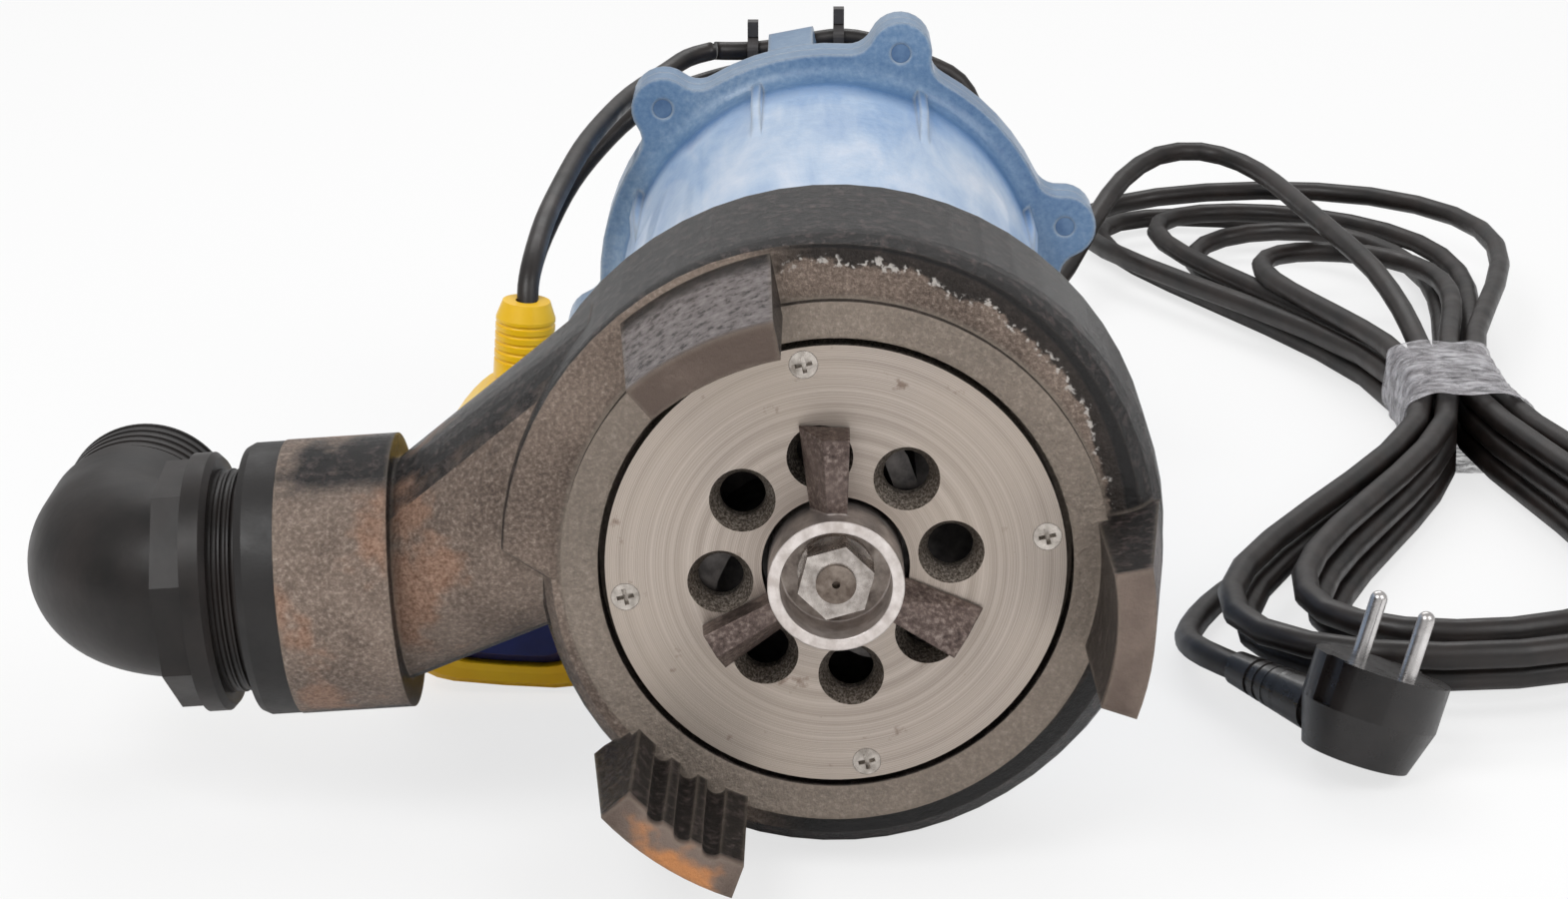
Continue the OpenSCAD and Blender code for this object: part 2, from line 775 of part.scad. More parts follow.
module motor_housing() color("lightsteelblue") lay_down() difference() {
    union() {
        turned(concat(
            [[0, casing_back], [foot_flange_r, casing_back], [foot_flange_r, foot_flange_back]],
            arc([barrel_r + foot_fillet, foot_flange_back + foot_fillet], foot_fillet, -90, -180, 4),
            arc([barrel_r + barrel_fillet, flange_front - barrel_fillet], barrel_fillet, 180, 90, 6),
            [[barrel_r + barrel_fillet, flange_front], [0, flange_front]]
        ));
        eared_plate(flange_r, flange_front, flange_back);
        around(rib_count, rib_start) rotate([90, 0, 0]) linear_extrude(rib_w, center = true)
            polygon([[barrel_r - over, -flange_front - over], [barrel_r + rib_h, -flange_front - over],
                [barrel_r + rib_h, over + rib_len / 3 - flange_front], [barrel_r - over, rib_len - flange_front]]);
    }
    disc(seal_flange_r, casing_back - over, casing_back + seal_flange_t);
    disc(oil_chamber_r, casing_back, bearing_wall_front);
    disc(lip_seal_d / 2 + fit, bearing_wall_front - over, bearing_wall_front + lip_seal_t);
    disc(shaft_bearing_d / 2 + shaft_gap, bearing_wall_front, motor_bore_front);
    disc(lower_bearing_d / 2 + run_fit, lower_bearing_front, motor_bore_front + over);
    disc(stator_r + fit, motor_bore_front, flange_back + over);
    around(ear_count, ear_start) translate([cover_bolt_r, 0, 0])
        disc(cover_bolt_d / 2 + run_fit, flange_front - over, flange_back + over);
    around(4, casing_bolt_start) translate([casing_bolt_r, 0, 0])
        disc(casing_bolt_d / 2 + fit, casing_back - over, foot_flange_back + over);
    oil_plug_place() cylinder(d = oil_plug_d + 2 * run_fit, h = barrel_r);
}

// The oil plug screws into the side of the barrel, low on the hidden side
module oil_plug_place() {
    at((casing_back + seal_flange_t + bearing_wall_front) / 2) rotate([0, 0, oil_plug_angle])
        rotate([0, 90, 0]) translate([0, 0, barrel_r - oil_plug_len]) children();
}

module oil_plug() color("silver") lay_down() oil_plug_place() difference() {
    union() {
        cylinder(d = oil_plug_d, h = oil_plug_len);
        translate([0, 0, oil_plug_len + fit]) cylinder(d = oil_plug_d * 1.4, h = bolt_socket_af);
        translate([0, 0, oil_plug_len - over]) cylinder(d = oil_plug_d, h = 2 * over);
    }
    translate([0, 0, oil_plug_len]) cylinder(d = bolt_socket_af, h = oil_plug_len, $fn = 6);
}

module shaft_lip_seal() color("black") lay_down()
    sleeve(lip_seal_d / 2, shaft_bearing_d / 2 + run_fit, bearing_wall_front + fit,
        bearing_wall_front + lip_seal_t - fit);

// Motor

module slot_outlines(extra) {
    for (i = [0 : slot_count - 1]) rotate(i * 360 / slot_count)
        translate([rotor_r + air_gap + slot_lip - extra, -slot_w / 2 + fit * (1 - extra)])
            square([slot_depth, slot_w - 2 * fit * (1 - extra)]);
}

module stator_core() color("gray") lay_down() difference() {
    translate([0, 0, -core_front - core_len]) linear_extrude(core_len) difference() {
        circle(r = stator_r);
        circle(r = rotor_r + air_gap);
        for (i = [0 : slot_count - 1]) rotate(i * 360 / slot_count)
            translate([rotor_r + air_gap + slot_lip, -slot_w / 2]) square([slot_depth, slot_w]);
    }
}

module stator_winding() color("peru") lay_down() {
    inner = rotor_r + air_gap + slot_lip + fit;
    for (end = [0, 1])
        at(end == 0 ? core_front - winding_rise - fit : core_front + core_len + fit)
            translate([0, 0, -winding_rise]) rotate_extrude() translate([inner, 0])
                square([winding_wall - 2 * fit, winding_rise]);
    translate([0, 0, -core_front - core_len - over]) linear_extrude(core_len + 2 * over)
        for (i = [0 : slot_count - 1]) rotate(i * 360 / slot_count)
            translate([inner, -slot_w / 2 + fit]) square([slot_depth - 2 * fit, slot_w - 2 * fit]);
}

module rotor_core() color("gray") lay_down() difference() {
    sleeve(rotor_r, shaft_rotor_d / 2, core_front, core_front + core_len);
    around(bar_count) translate([rotor_r - bar_d, 0, 0])
        disc(bar_d / 2, core_front - over, core_front + core_len + over);
}

module rotor_cage() color("silver") lay_down() {
    bar_ring = rotor_r - bar_d;
    for (front = [core_front - end_ring_t, core_front + core_len])
        sleeve(rotor_r - over, bar_ring - bar_d, front, front + end_ring_t);
    around(bar_count) translate([bar_ring, 0, 0])
        disc(bar_d / 2, core_front - over, core_front + core_len + over);
}

// Bearings: grooved rings, and balls held by a ring-shaped cage

function race_r(bore_d, outer_d) = (bore_d + outer_d) / 4;
function race_ball(bore_d, outer_d) = (outer_d - bore_d) * ring_share;

module groove(bore_d, outer_d, front, width) {
    at(front + width / 2) rotate_extrude() translate([race_r(bore_d, outer_d), 0])
        circle(d = race_ball(bore_d, outer_d) + 2 * run_fit);
}

module bearing_outer(bore_d, outer_d, front, width) {
    difference() {
        sleeve(outer_d / 2, race_r(bore_d, outer_d) + race_ball(bore_d, outer_d) * 0.3, front, front + width);
        groove(bore_d, outer_d, front, width);
    }
}

module bearing_inner(bore_d, outer_d, front, width) {
    difference() {
        sleeve(race_r(bore_d, outer_d) - race_ball(bore_d, outer_d) * 0.3, bore_d / 2, front, front + width);
        groove(bore_d, outer_d, front, width);
    }
}

module bearing_balls(bore_d, outer_d, front, width) {
    ball = race_ball(bore_d, outer_d);
    cage = ball * 0.12;
    sleeve(race_r(bore_d, outer_d) + cage, race_r(bore_d, outer_d) - cage,
        front + width / 2 - ball * 0.35, front + width / 2 + ball * 0.35);
    around(8) translate([race_r(bore_d, outer_d), 0, -front - width / 2]) sphere(d = ball);
}

module lower_bearing_outer() color("silver") lay_down()
    bearing_outer(shaft_bearing_d, lower_bearing_d, lower_bearing_front, lower_bearing_t);
module lower_bearing_inner() color("silver") lay_down()
    bearing_inner(shaft_bearing_d, lower_bearing_d, lower_bearing_front, lower_bearing_t);
module lower_bearing_balls() color("gold") lay_down()
    bearing_balls(shaft_bearing_d, lower_bearing_d, lower_bearing_front, lower_bearing_t);
module upper_bearing_outer() color("silver") lay_down()
    bearing_outer(upper_bearing_bore_d, upper_bearing_d, upper_bearing_front, upper_bearing_t);
module upper_bearing_inner() color("silver") lay_down()
    bearing_inner(upper_bearing_bore_d, upper_bearing_d, upper_bearing_front, upper_bearing_t);
module upper_bearing_balls() color("gold") lay_down()
    bearing_balls(upper_bearing_bore_d, upper_bearing_d, upper_bearing_front, upper_bearing_t);

module bearing_bracket() color("lightgray") lay_down() {
    back = upper_bearing_front + upper_bearing_t;
    hub = upper_bearing_d / 2 + bracket_hub_wall;
    sleeve(stator_r, hub - over, back - bracket_t + over, back + over);
    sleeve(hub, upper_bearing_d / 2 + run_fit, upper_bearing_front, back + over);
}

// Rotating parts

module key_slot(front, back) {
    translate([shaft_d / 2 - key_h / 2, -key_w / 2, -back]) cube([key_h, key_w, back - front]);
}

key_front = web_front + over;
key_back = impeller_back;
module drive_key() color("silver") lay_down() key_slot(key_front, key_back);

module shaft() color("silver") lay_down() difference() {
    union() {
        disc(shaft_thread_d / 2, tip_depth, web_front + over);
        disc(shaft_d / 2, web_front, hub_back);
        disc(seal_shaft_d / 2, hub_back, casing_back + seal_flange_t + over);
        disc(shaft_bearing_d / 2, seal_face_front + seal_face_t + seal_spring_len,
            lower_bearing_front + lower_bearing_t);
        disc(seal_shaft_d / 2, casing_back, bearing_wall_front);
        disc(shaft_shoulder_d / 2, lower_bearing_front + lower_bearing_t,
            lower_bearing_front + lower_bearing_t + shaft_shoulder_len);
        disc(shaft_rotor_d / 2, lower_bearing_front + lower_bearing_t, upper_bearing_front);
        disc(upper_bearing_bore_d / 2, upper_bearing_front - over, shaft_back);
    }
    key_slot(key_front, key_back);
    disc(over, tip_depth - over, tip_depth + 2 * over);
}

// A vane follows a spiral from the hub to the rim
vane_sweep = 110;
vane_lean = 38;
vane_steps = 10;
function vane_point(share, offset) =
    let (r = hub_r - over + (impeller_d / 2 - hub_r + over) * share, t = vane_sweep * share)
    [r * cos(t) + offset * cos(t - vane_lean), r * sin(t) + offset * sin(t - vane_lean)];

module impeller() color("darkslategray") lay_down() difference() {
    union() {
        disc(impeller_d / 2, shroud_front, impeller_back);
        disc(hub_r, impeller_front, hub_back);
        intersection() {
            disc(impeller_d / 2, impeller_front, shroud_front + over);
            around(vane_count) translate([0, 0, -shroud_front - over]) linear_extrude(vane_h + over)
                polygon(concat(
                    [for (i = [0 : vane_steps]) vane_point(i / vane_steps, vane_t / 2)],
                    [for (i = [vane_steps : -1 : 0]) vane_point(i / vane_steps, -vane_t / 2)]
                ));
        }
    }
    disc(shaft_d / 2, impeller_front - over, hub_back + over);
    key_slot(key_front, key_back);
}

// The cutter: a cupped hub round the nut, and three arms with one sloping flank each
arm_root_share = 0.4;
arm_top_w = 6.5;
arm_flank_w = 6;
module cutter_arm() {
    root = cutter_hub_d * arm_root_share;
    base = -cutter_gap;
    hull() {
        translate([0, 0, cutter_gap]) linear_extrude(cutter_gap)
            polygon([[root, -arm_top_w * 0.4], [arm_tip_r, -arm_top_w / 2],
                [arm_tip_r + cutter_gap, arm_top_w / 2 + arm_flank_w], [root, arm_top_w * 0.4 + arm_flank_w * 0.6]]);
        translate([0, 0, arm_h - cutter_gap]) linear_extrude(cutter_gap)
            polygon([[root, -arm_top_w * 0.4], [arm_tip_r - cutter_gap, -arm_top_w / 2],
                [arm_tip_r - cutter_gap, arm_top_w / 2], [root, arm_top_w * 0.3]]);
    }
}

module cutter() color("gainsboro") lay_down() difference() {
    union() {
        disc(cutter_hub_d / 2, -cutter_reach, impeller_front);
        around(3, cutter_arm_start) cutter_arm();
    }
    disc(cutter_hub_d / 2 - recess_wall, -cutter_reach - over, web_front);
    disc(shaft_d / 2, web_front - over, impeller_front + over);
    key_slot(key_front, key_back);
}

module cutter_washer() color("silver") lay_down()
    sleeve(nut_af / 2 + over, shaft_thread_d / 2 + fit, nut_back, nut_back + washer_t);

module cutter_nut() color("silver") lay_down() difference() {
    translate([0, 0, -nut_back]) rotate([0, 0, 12]) cylinder(d = nut_af / cos(30), h = nut_t, $fn = 6);
    disc(shaft_thread_d / 2, nut_back - nut_t - over, nut_back + over);
}

// Top cover

cover_front = flange_back;
cover_flange_back = cover_front + cover_flange_t;
dome_r = dome_d / 2;

module handle_outline() {
    low = cover_front + over;
    bar = handle_back - handle_bar_t;
    inner = handle_r - handle_leg_t;
    difference() {
        union() {
            translate([-handle_r, low]) square([2 * handle_r, handle_back - handle_corner_r - low]);
            translate([-handle_r + handle_corner_r, low])
                square([2 * (handle_r - handle_corner_r), handle_back - low]);
            for (s = [-1, 1]) translate([s * (handle_r - handle_corner_r), handle_back - handle_corner_r])
                circle(r = handle_corner_r);
        }
        translate([-inner, dome_back - dome_round]) square([2 * inner, bar - handle_inner_r - dome_back + dome_round]);
        translate([-inner + handle_inner_r, bar - handle_inner_r - over])
            square([2 * (inner - handle_inner_r), handle_inner_r + over]);
        for (s = [-1, 1]) translate([s * (inner - handle_inner_r), bar - handle_inner_r])
            circle(r = handle_inner_r);
        translate([-inner, low - over]) square([2 * inner, dome_back - low - dome_round + 2 * over]);
    }
}

// The handle stands in the plane of the shaft, turned to its own angle
module handle() {
    rotate([0, 0, handle_angle]) rotate([-90, 0, 0]) translate([0, 0, -handle_w / 2])
        linear_extrude(handle_w) handle_outline();
}

// Eye through the handle's corner that the float cable runs through
module cable_eye() {
    rotate([0, 0, handle_angle]) translate([eye_radial, 0, -eye_depth]) rotate([90, 0, 0])
        for (s = [-1, 1]) translate([s * (eye_len - eye_w) / 2, 0, 0]) {
            cylinder(d = eye_w, h = 2 * handle_w, center = true);
            if (s == 1) translate([-(eye_len - eye_w) / 2, 0, 0])
                cube([eye_len - eye_w, eye_w, 2 * handle_w], center = true);
        }
}

module top_cover() color("lightsteelblue") lay_down() difference() {
    union() {
        eared_plate(flange_r, cover_front, cover_flange_back);
        turned(concat(
            [[0, cover_front], [dome_r, cover_front]],
            arc([dome_r - dome_round, dome_back - dome_round], dome_round, 0, 90, 6),
            [[0, dome_back]]
        ));
        handle();
    }
    disc(dome_r - cover_wall, cover_front - over, dome_back - cover_wall);
    cable_eye();
    around(ear_count, ear_start) translate([cover_bolt_r, 0, 0])
        disc(cover_bolt_d / 2 + fit, cover_front - over, cover_flange_back + over);
    mains_gland_place() cylinder(d = gland_d * 0.6, h = 4 * cover_wall, center = true);
    float_gland_place() cylinder(d = float_cable_d + shaft_gap, h = 6 * cover_wall, center = true);
    float_gland_place() translate([0, 0, -over]) cylinder(d = gland_d, h = gland_len);
    at(cover_front) rotate_extrude() translate([dome_r, 0]) circle(d = cover_ring_section + 2 * fit);
}

module cover_ring() color("black") lay_down()
    at(cover_front + cover_ring_section / 4) rotate_extrude() translate([dome_r, 0])
        circle(d = cover_ring_section / 2);

module cover_bolts() color("silver") lay_down() around(ear_count, ear_start)
    translate([cover_bolt_r, 0, -cover_flange_back]) rotate([180, 0, 0])
        socket_bolt(cover_bolt_d, bolt_head_d, bolt_head_h, flange_t + cover_flange_t);

// The capacitor lies across the hollow of the cover, held against its top by a clip
cover_ceiling = dome_back - cover_wall;
clip_t = 0.5;
module capacitor_place() {
    translate([-capacitor_x, 0, capacitor_d / 2 + clip_t - cover_ceiling]) rotate([90, 0, 0]) children();
}

module capacitor() color("whitesmoke") lay_down() capacitor_place()
    cylinder(d = capacitor_d - 2 * fit, h = capacitor_len, center = true);

module capacitor_clip() color("silver") lay_down() capacitor_place() difference() {
    cylinder(d = capacitor_d + 2 * clip_t, h = handle_w, center = true);
    cylinder(d = capacitor_d, h = 2 * handle_w, center = true);
    translate([0, capacitor_d / 2, 0]) cube([capacitor_d / 2, capacitor_d, 2 * handle_w], center = true);
}

terminal_w = 12;
terminal_len = 34;
terminal_count = 4;
module terminal_block() color("ivory") lay_down()
    translate([capacitor_d / 2 - capacitor_x + terminal_w / 2, -terminal_len / 3, -cover_ceiling]) difference() {
        cube([terminal_w, terminal_len, terminal_w]);
        for (i = [0.5 : terminal_count - 0.5])
            translate([-over, i * terminal_len / terminal_count, terminal_w / 2])
                rotate([0, 90, 0]) cylinder(d = terminal_w / 3, h = terminal_w + 2 * over);
    }

// Glands

module mains_gland_place() {
    rotate([0, 0, -lie_roll]) translate([mains_gland_x, mains_gland_up, -dome_back])
        rotate([180, 0, 0]) children();
}

module float_gland_place() {
    rotate([0, 0, float_gland_angle]) translate([dome_r, 0, -float_gland_depth]) rotate([0, 90, 0]) children();
}

module mains_gland() color("black") lay_down() mains_gland_place() difference() {
    union() {
        translate([0, 0, fit]) cylinder(d = gland_d / cos(30), h = gland_len / 2, $fn = 6);
        cylinder(d = gland_d * 0.8, h = gland_len);
        translate([0, 0, -cover_wall - 2 * over]) cylinder(d = gland_d * 0.6 - 2 * fit, h = cover_wall + 4 * over);
    }
    translate([0, 0, -2 * cover_wall]) cylinder(d = cord_d + fit, h = 4 * gland_len);
}

module mains_gland_nut() color("black") lay_down() mains_gland_place() difference() {
    union() {
        translate([0, 0, gland_len / 2 + 2 * fit]) cylinder(d = gland_d * 1.1, h = gland_nut_len * 0.7, $fn = 12);
        translate([0, 0, gland_len / 2 + gland_nut_len * 0.7 + fit])
            cylinder(d1 = gland_d * 1.05, d2 = gland_d * 0.7, h = gland_nut_len * 0.3);
    }
    translate([0, 0, -over]) cylinder(d = gland_d * 0.8 + 2 * fit, h = gland_len + over + fit);
    cylinder(d = cord_d + fit, h = 4 * gland_len);
}

module float_gland_nut() color("black") lay_down() float_gland_place() difference() {
    union() {
        translate([0, 0, fit - over]) cylinder(d = gland_d * 0.8 / cos(30), h = gland_len * 0.6, $fn = 6);
        translate([0, 0, gland_len * 0.6 - over]) cylinder(d1 = gland_d * 0.75, d2 = gland_d * 0.5, h = gland_len / 2);
    }
    translate([0, 0, -gland_len]) cylinder(d = float_cable_d + fit, h = 4 * gland_len);
}

// Outlet ring and elbow

module outlet_ring() color("black") lay_down() along_outlet() difference() {
    translate([0, 0, collar_end + fit]) rotate_extrude() polygon([
        [outlet_thread_d / 2 + fit, 0], [outlet_ring_d / 2, 0],
        [outlet_ring_d / 2, outlet_ring_t - 2 * over], [outlet_ring_d / 2 - over, outlet_ring_t],
        [outlet_thread_d / 2 + fit, outlet_ring_t]
    ]);
}

elbow_thread_end = collar_end + outlet_ring_t + thread_show;
elbow_flange_back = elbow_thread_end + elbow_flange_t;
module elbow_solid(r, past = 0) {
    run = elbow_axis - elbow_bend_r;
    front = collar_end - thread_len + over - past;
    translate([0, 0, front]) cylinder(r = r, h = run - front);
    translate([-elbow_bend_r, 0, run]) rotate([90, 0, 0]) rotate_extrude(angle = 90)
        translate([elbow_bend_r, 0]) circle(r = r);
    translate([-elbow_bend_r, 0, elbow_axis]) rotate([0, -90, 0])
        cylinder(r = r, h = elbow_end - outlet_depth - elbow_bend_r + past);
}

module elbow_threads() {
    translate([0, 0, collar_end - thread_len + over]) difference() {
        cylinder(d = outlet_thread_d - 2 * fit, h = elbow_thread_end - collar_end + thread_len - over);
        for (i = [0 : 2]) translate([0, 0, thread_len + outlet_ring_t + thread_pitch * (i + 0.3)])
            rotate_extrude() translate([outlet_thread_d / 2, 0]) circle(d = thread_groove_depth * 1.5);
    }
}

module outlet_elbow() color("dimgray") lay_down() along_outlet() difference() {
    union() {
        difference() {
            elbow_solid(elbow_d / 2);
            translate([-elbow_end + outlet_depth, 0, elbow_axis]) rotate([0, 90, 0]) difference() {
                translate([0, 0, -over]) cylinder(d = elbow_d + over, h = spigot_thread_len + over);
                translate([0, 0, -2 * over]) cylinder(d = spigot_thread_d, h = spigot_thread_len + 3 * over);
            }
            for (i = [0 : spigot_groove_count - 1])
                translate([-elbow_end + outlet_depth + spigot_thread_len * (i + 0.5) / spigot_groove_count, 0,
                    elbow_axis]) rotate([0, 90, 0]) rotate_extrude()
                        translate([spigot_thread_d / 2, 0]) circle(r = thread_groove_depth);
        }
        elbow_threads();
        translate([0, 0, elbow_thread_end]) rotate_extrude() polygon([
            [0, 0], [elbow_flange_d / 2 - elbow_flange_chamfer, 0],
            [elbow_flange_d / 2, elbow_flange_chamfer], [elbow_flange_d / 2, elbow_flange_t],
            [0, elbow_flange_t]
        ]);
        translate([0, 0, elbow_flange_back - over]) rotate([0, 0, 18]) cylinder(d = elbow_collar_d / cos(22.5),
            h = elbow_collar_len + over, $fn = 8);
    }
    elbow_solid(elbow_bore_d / 2, over);
}

// Float switch. Its frame stands on the floor, leans to the left and looks at the viewer
module float_frame() {
    translate([float_x - mid_x, float_depth - mid_depth + float_t / 2, 0]) rotate([0, float_lean, 0]) children();
}

float_base = 1.2;
// Outline of the float as [x, z]: wide and round at the foot, narrow at the cable end
function float_outline(inset, n = 40) =
    [for (i = [0 : n - 1]) let (
        t = i * 360 / n,
        level = (1 - cos(t)) / 2,
        half = (float_w / 2 - inset) * (1 - (1 - float_top_share) * pow(level, float_taper)),
        x = half * sign(sin(t)) * pow(abs(sin(t)), 0.42),
        z = float_base + inset + (float_h - 2 * inset) * (0.5 - 0.5 * sign(cos(t)) * pow(abs(cos(t)), 0.5)))
        [x, z]];
function float_ring(inset, y) = [for (p = float_outline(inset)) [p[0], y, p[1]]];

seam_y = -float_t / 2 + float_seam;
module float_shape(inset) {
    front = seam_y;
    back = float_t / 2 - inset;
    loft([
        float_ring(inset, front), float_ring(inset, back - float_round),
        float_ring(inset + float_round * 0.3, back - float_round * 0.29),
        float_ring(inset + float_round, back)
    ]);
}

module float_back() color("gold") float_frame() difference() {
    union() {
        float_shape(0);
        loft([float_ring(rim_round, seam_y - rim_reach), float_ring(rim_round * 0.45, seam_y - rim_reach * 0.85),
            float_ring(rim_round * 0.12, seam_y - rim_reach * 0.4), float_ring(0, seam_y + over)]);
    }
    difference() {
        float_shape(float_wall);
        translate([0, 0, float_h]) cube([float_gland_d + 2 * float_wall, float_t, 2 * float_gland_base], center = true);
    }
    loft([float_ring(cap_inset, seam_y - rim_reach - over), float_ring(cap_inset, seam_y + over)]);
    translate([0, 0, float_h - float_gland_base]) cylinder(d = float_gland_d * 0.7, h = 4 * float_gland_base);
}

// The front shell is a cap, held behind the rim of the rear shell by its own flange
module float_front() color("midnightblue") float_frame() difference() {
    front = -float_t / 2;
    block_half = float_gland_d / 2 + float_wall + cap_gap;
    block_low = float_h - float_gland_base - cap_gap;
    loft([
        float_ring(cap_inset + float_round, front), float_ring(cap_inset + float_round * 0.3, front + cap_round / 3),
        float_ring(cap_inset + cap_gap, front + cap_round), float_ring(cap_inset + cap_gap, seam_y + fit),
        float_ring(float_wall + cap_gap, seam_y + fit), float_ring(float_wall + cap_gap, seam_y + cap_flange_t)
    ]);
    loft([
        float_ring(cap_inset + float_round, front + float_wall),
        float_ring(cap_inset + cap_gap + float_wall, front + cap_round + float_wall),
        float_ring(cap_inset + cap_gap + float_wall, seam_y + cap_flange_t + over)
    ]);
    // The flange stops at the block that carries the gland
    translate([-block_half, seam_y, block_low]) cube([2 * block_half, float_t, float_h - block_low + over]);
}

module float_gland() color("gold") float_frame() translate([0, 0, float_h]) difference() {
    union() {
        rotate_extrude() polygon([
            [0, -float_gland_base * 0.6], [float_gland_d * 0.34, -float_gland_base * 0.6],
            [float_gland_d * 0.34, 2 * over], [float_gland_d / 2, 2 * over],
            [float_gland_d / 2, float_gland_len * 0.8], [float_gland_d * 0.4, float_gland_len],
            [0, float_gland_len]
        ]);
    }
    for (i = [0 : float_gland_ribs - 1])
        translate([0, 0, float_gland_len * (0.3 + 0.11 * i)]) rotate_extrude()
            translate([float_gland_d / 2 + fit, 0]) circle(d = float_gland_len * 0.05);
    translate([0, 0, -float_gland_base]) cylinder(d = float_cable_d + fit, h = 2 * float_gland_len);
}

// The ball rolls along a race across the float and pushes the switch's plunger at its end
race_z = 34;
race_d = ball_d + 2 * run_fit;
race_len = ball_d + ball_travel;
race_rib_w = 6;
module ball_race() color("white") float_frame() translate([0, 0, race_z]) difference() {
    union() {
        translate([0, 0, -race_wall]) cylinder(d = race_d + 2 * race_wall, h = race_len + race_wall);
        translate([-race_rib_w / 2, plunger_d + fit, -race_wall])
            cube([race_rib_w, float_t / 2 - float_wall - plunger_d - fit, race_len + race_wall + ball_d / 2]);
    }
    cylinder(d = race_d, h = race_len + over);
}

module switch_ball() color("silver") float_frame()
    translate([0, 0, race_z + ball_d / 2]) sphere(d = ball_d);

switch_z = race_z + race_len;
module switch_plunger() color("red") float_frame() translate([0, 0, race_z + race_len - plunger_travel + fit])
    cylinder(d = plunger_d, h = plunger_len);

module float_microswitch() color("black") float_frame() translate([0, 0, switch_z]) difference() {
    translate([-ball_d / 2, -plunger_d, fit]) cube([ball_d, 2 * plunger_d, ball_d * 0.7]);
    translate([0, 0, -over]) cylinder(d = plunger_d + 2 * run_fit, h = plunger_len + plunger_travel + over);
}

// Cables

module float_cable() color("black") tube(smooth(float_cable_route, 2), float_cable_d, 10);
module float_cable_slack() color("black") tube(smooth(float_slack_route, 2), float_cable_d, 10);

tie_w = 3.6;
tie_t = 1.2;
tie_head = 5;
tie_slack = 1;
tie_y = 191.5;
// Each tie: its place along the cable, and the heights of the two runs that it holds
tie_places = [[40, 136, 142.5], [69, 138.9, 147]];
module tie_loop(low, high, r, w) {
    hull() for (z = [low, high]) translate([-z, 0, 0])
        cylinder(r = r, h = w, center = true, $fn = hull_fn);
}

module cable_tie(x, low, high) {
    inner = float_cable_d / 2 + tie_slack;
    translate([x, tie_y, 0]) rotate([0, 90, 0]) difference() {
        tie_loop(low, high, inner + tie_t, tie_w);
        tie_loop(low, high, inner, tie_w + 2 * over);
    }
    translate([x, tie_y, high + inner + tie_t + tie_head / 2 - fit]) cube([tie_w, tie_head, tie_head], center = true);
}

module cable_ties() color("dimgray") {
    for (place = tie_places) cable_tie(place[0], place[1], place[2]);
}

// Mains cord

module mains_cord() color("black") tube(smooth(mains_route, 2), cord_d, 12);

function layer_z(layer) = hank_low + layer * hank_step;
function eased(t) = let (s = max(0, min(1, t))) s * s * (3 - 2 * s);
function lobe_point(lobe, u, way) =
    let (length = lobe[0], half = lobe[1], s = sin(180 * u), turn = (1 - cos(180 * u)) / 2,
        column = hank_step * (lobe[2] + (lobe[4] - lobe[2]) * turn),
        swell = half * lobe_swell * sin(360 * u) * sqrt(s),
        lean = (way < 0 ? near_lean : far_lean) * pow(length * s, 2))
    [hank_x + column + way * swell - lean,
     hank_y + way * (waist_len / 2 + length * s),
     layer_z(lobe[3]) + (layer_z(lobe[5]) - layer_z(lobe[3])) * eased((u - 0.35) / 0.35)];
function lobe_points(lobe, way) = [for (i = [0 : lobe_rings]) lobe_point(lobe, i / lobe_rings, way)];
function hank_path() = concat(
    [[hank_x - hank_step / 2, hank_y + waist_len / 2, layer_z(2)]],
    [for (k = [0 : len(near_lobes) - 1])
        each concat(lobe_points(near_lobes[k], -1), lobe_points(far_lobes[k], 1))],
    [[hank_x - 1.5 * hank_step, hank_y - waist_len / 2, layer_z(0)]],
    smooth(tail_route, 2)
);

// Distance from a point to a stretch between two points
function reach_to(p, a, b) =
    let (ab = b - a, t = max(0, min(1, (p - a) * ab / (ab * ab)))) norm(p - a - t * ab);
function least_gap(path, d) =
    min([for (i = [0 : len(path) - 1], j = [0 : len(path) - 2])
        if (abs(i - j) > 4 && abs(i - j - 1) > 4) reach_to(path[i], path[j], path[j + 1])]) - d;

module cord_hank() color("black") {
    path = hank_path();
    echo(hank_least_gap = least_gap(path, cord_d));
    tube(path, cord_d, 6);
}

// Clear tape that holds the waist together
module tape_outline(extra) {
    w = 4 * hank_step + 2 * extra;
    h = 3 * hank_step + 2 * extra;
    translate([-w / 2 + cord_d / 2, cord_d / 2]) square([w - cord_d, h - cord_d]);
    for (x = [-w / 2 + cord_d / 2, w / 2 - cord_d / 2]) {
        for (y = [cord_d / 2, h - cord_d / 2]) translate([x, y]) circle(d = cord_d);
        translate([x - cord_d / 2, cord_d / 2]) square([cord_d, h - cord_d]);
    }
    translate([-w / 2 + cord_d / 2, 0]) square([w - cord_d, h]);
}

module hank_tape() color("lightgray") difference() {
    translate([hank_x, hank_y + waist_len / 2 - over, 0]) rotate([90, 0, 0]) linear_extrude(waist_len - 2 * over)
        tape_outline(tape_t);
    translate([hank_x, hank_y + waist_len / 2, tape_t]) rotate([90, 0, 0]) linear_extrude(waist_len)
        tape_outline(0);
}

// Mains plug with its cable entering from the side

plug_depth = plug_face_t + plug_back_t;
plug_rise = plug_depth * cos(plug_lean) + plug_back_d / 2 * sin(-plug_lean) + fit;
module plug_place() {
    translate([plug_x, plug_y, plug_rise]) rotate([0, 0, plug_turn]) rotate([plug_lean, 0, 0]) children();
}

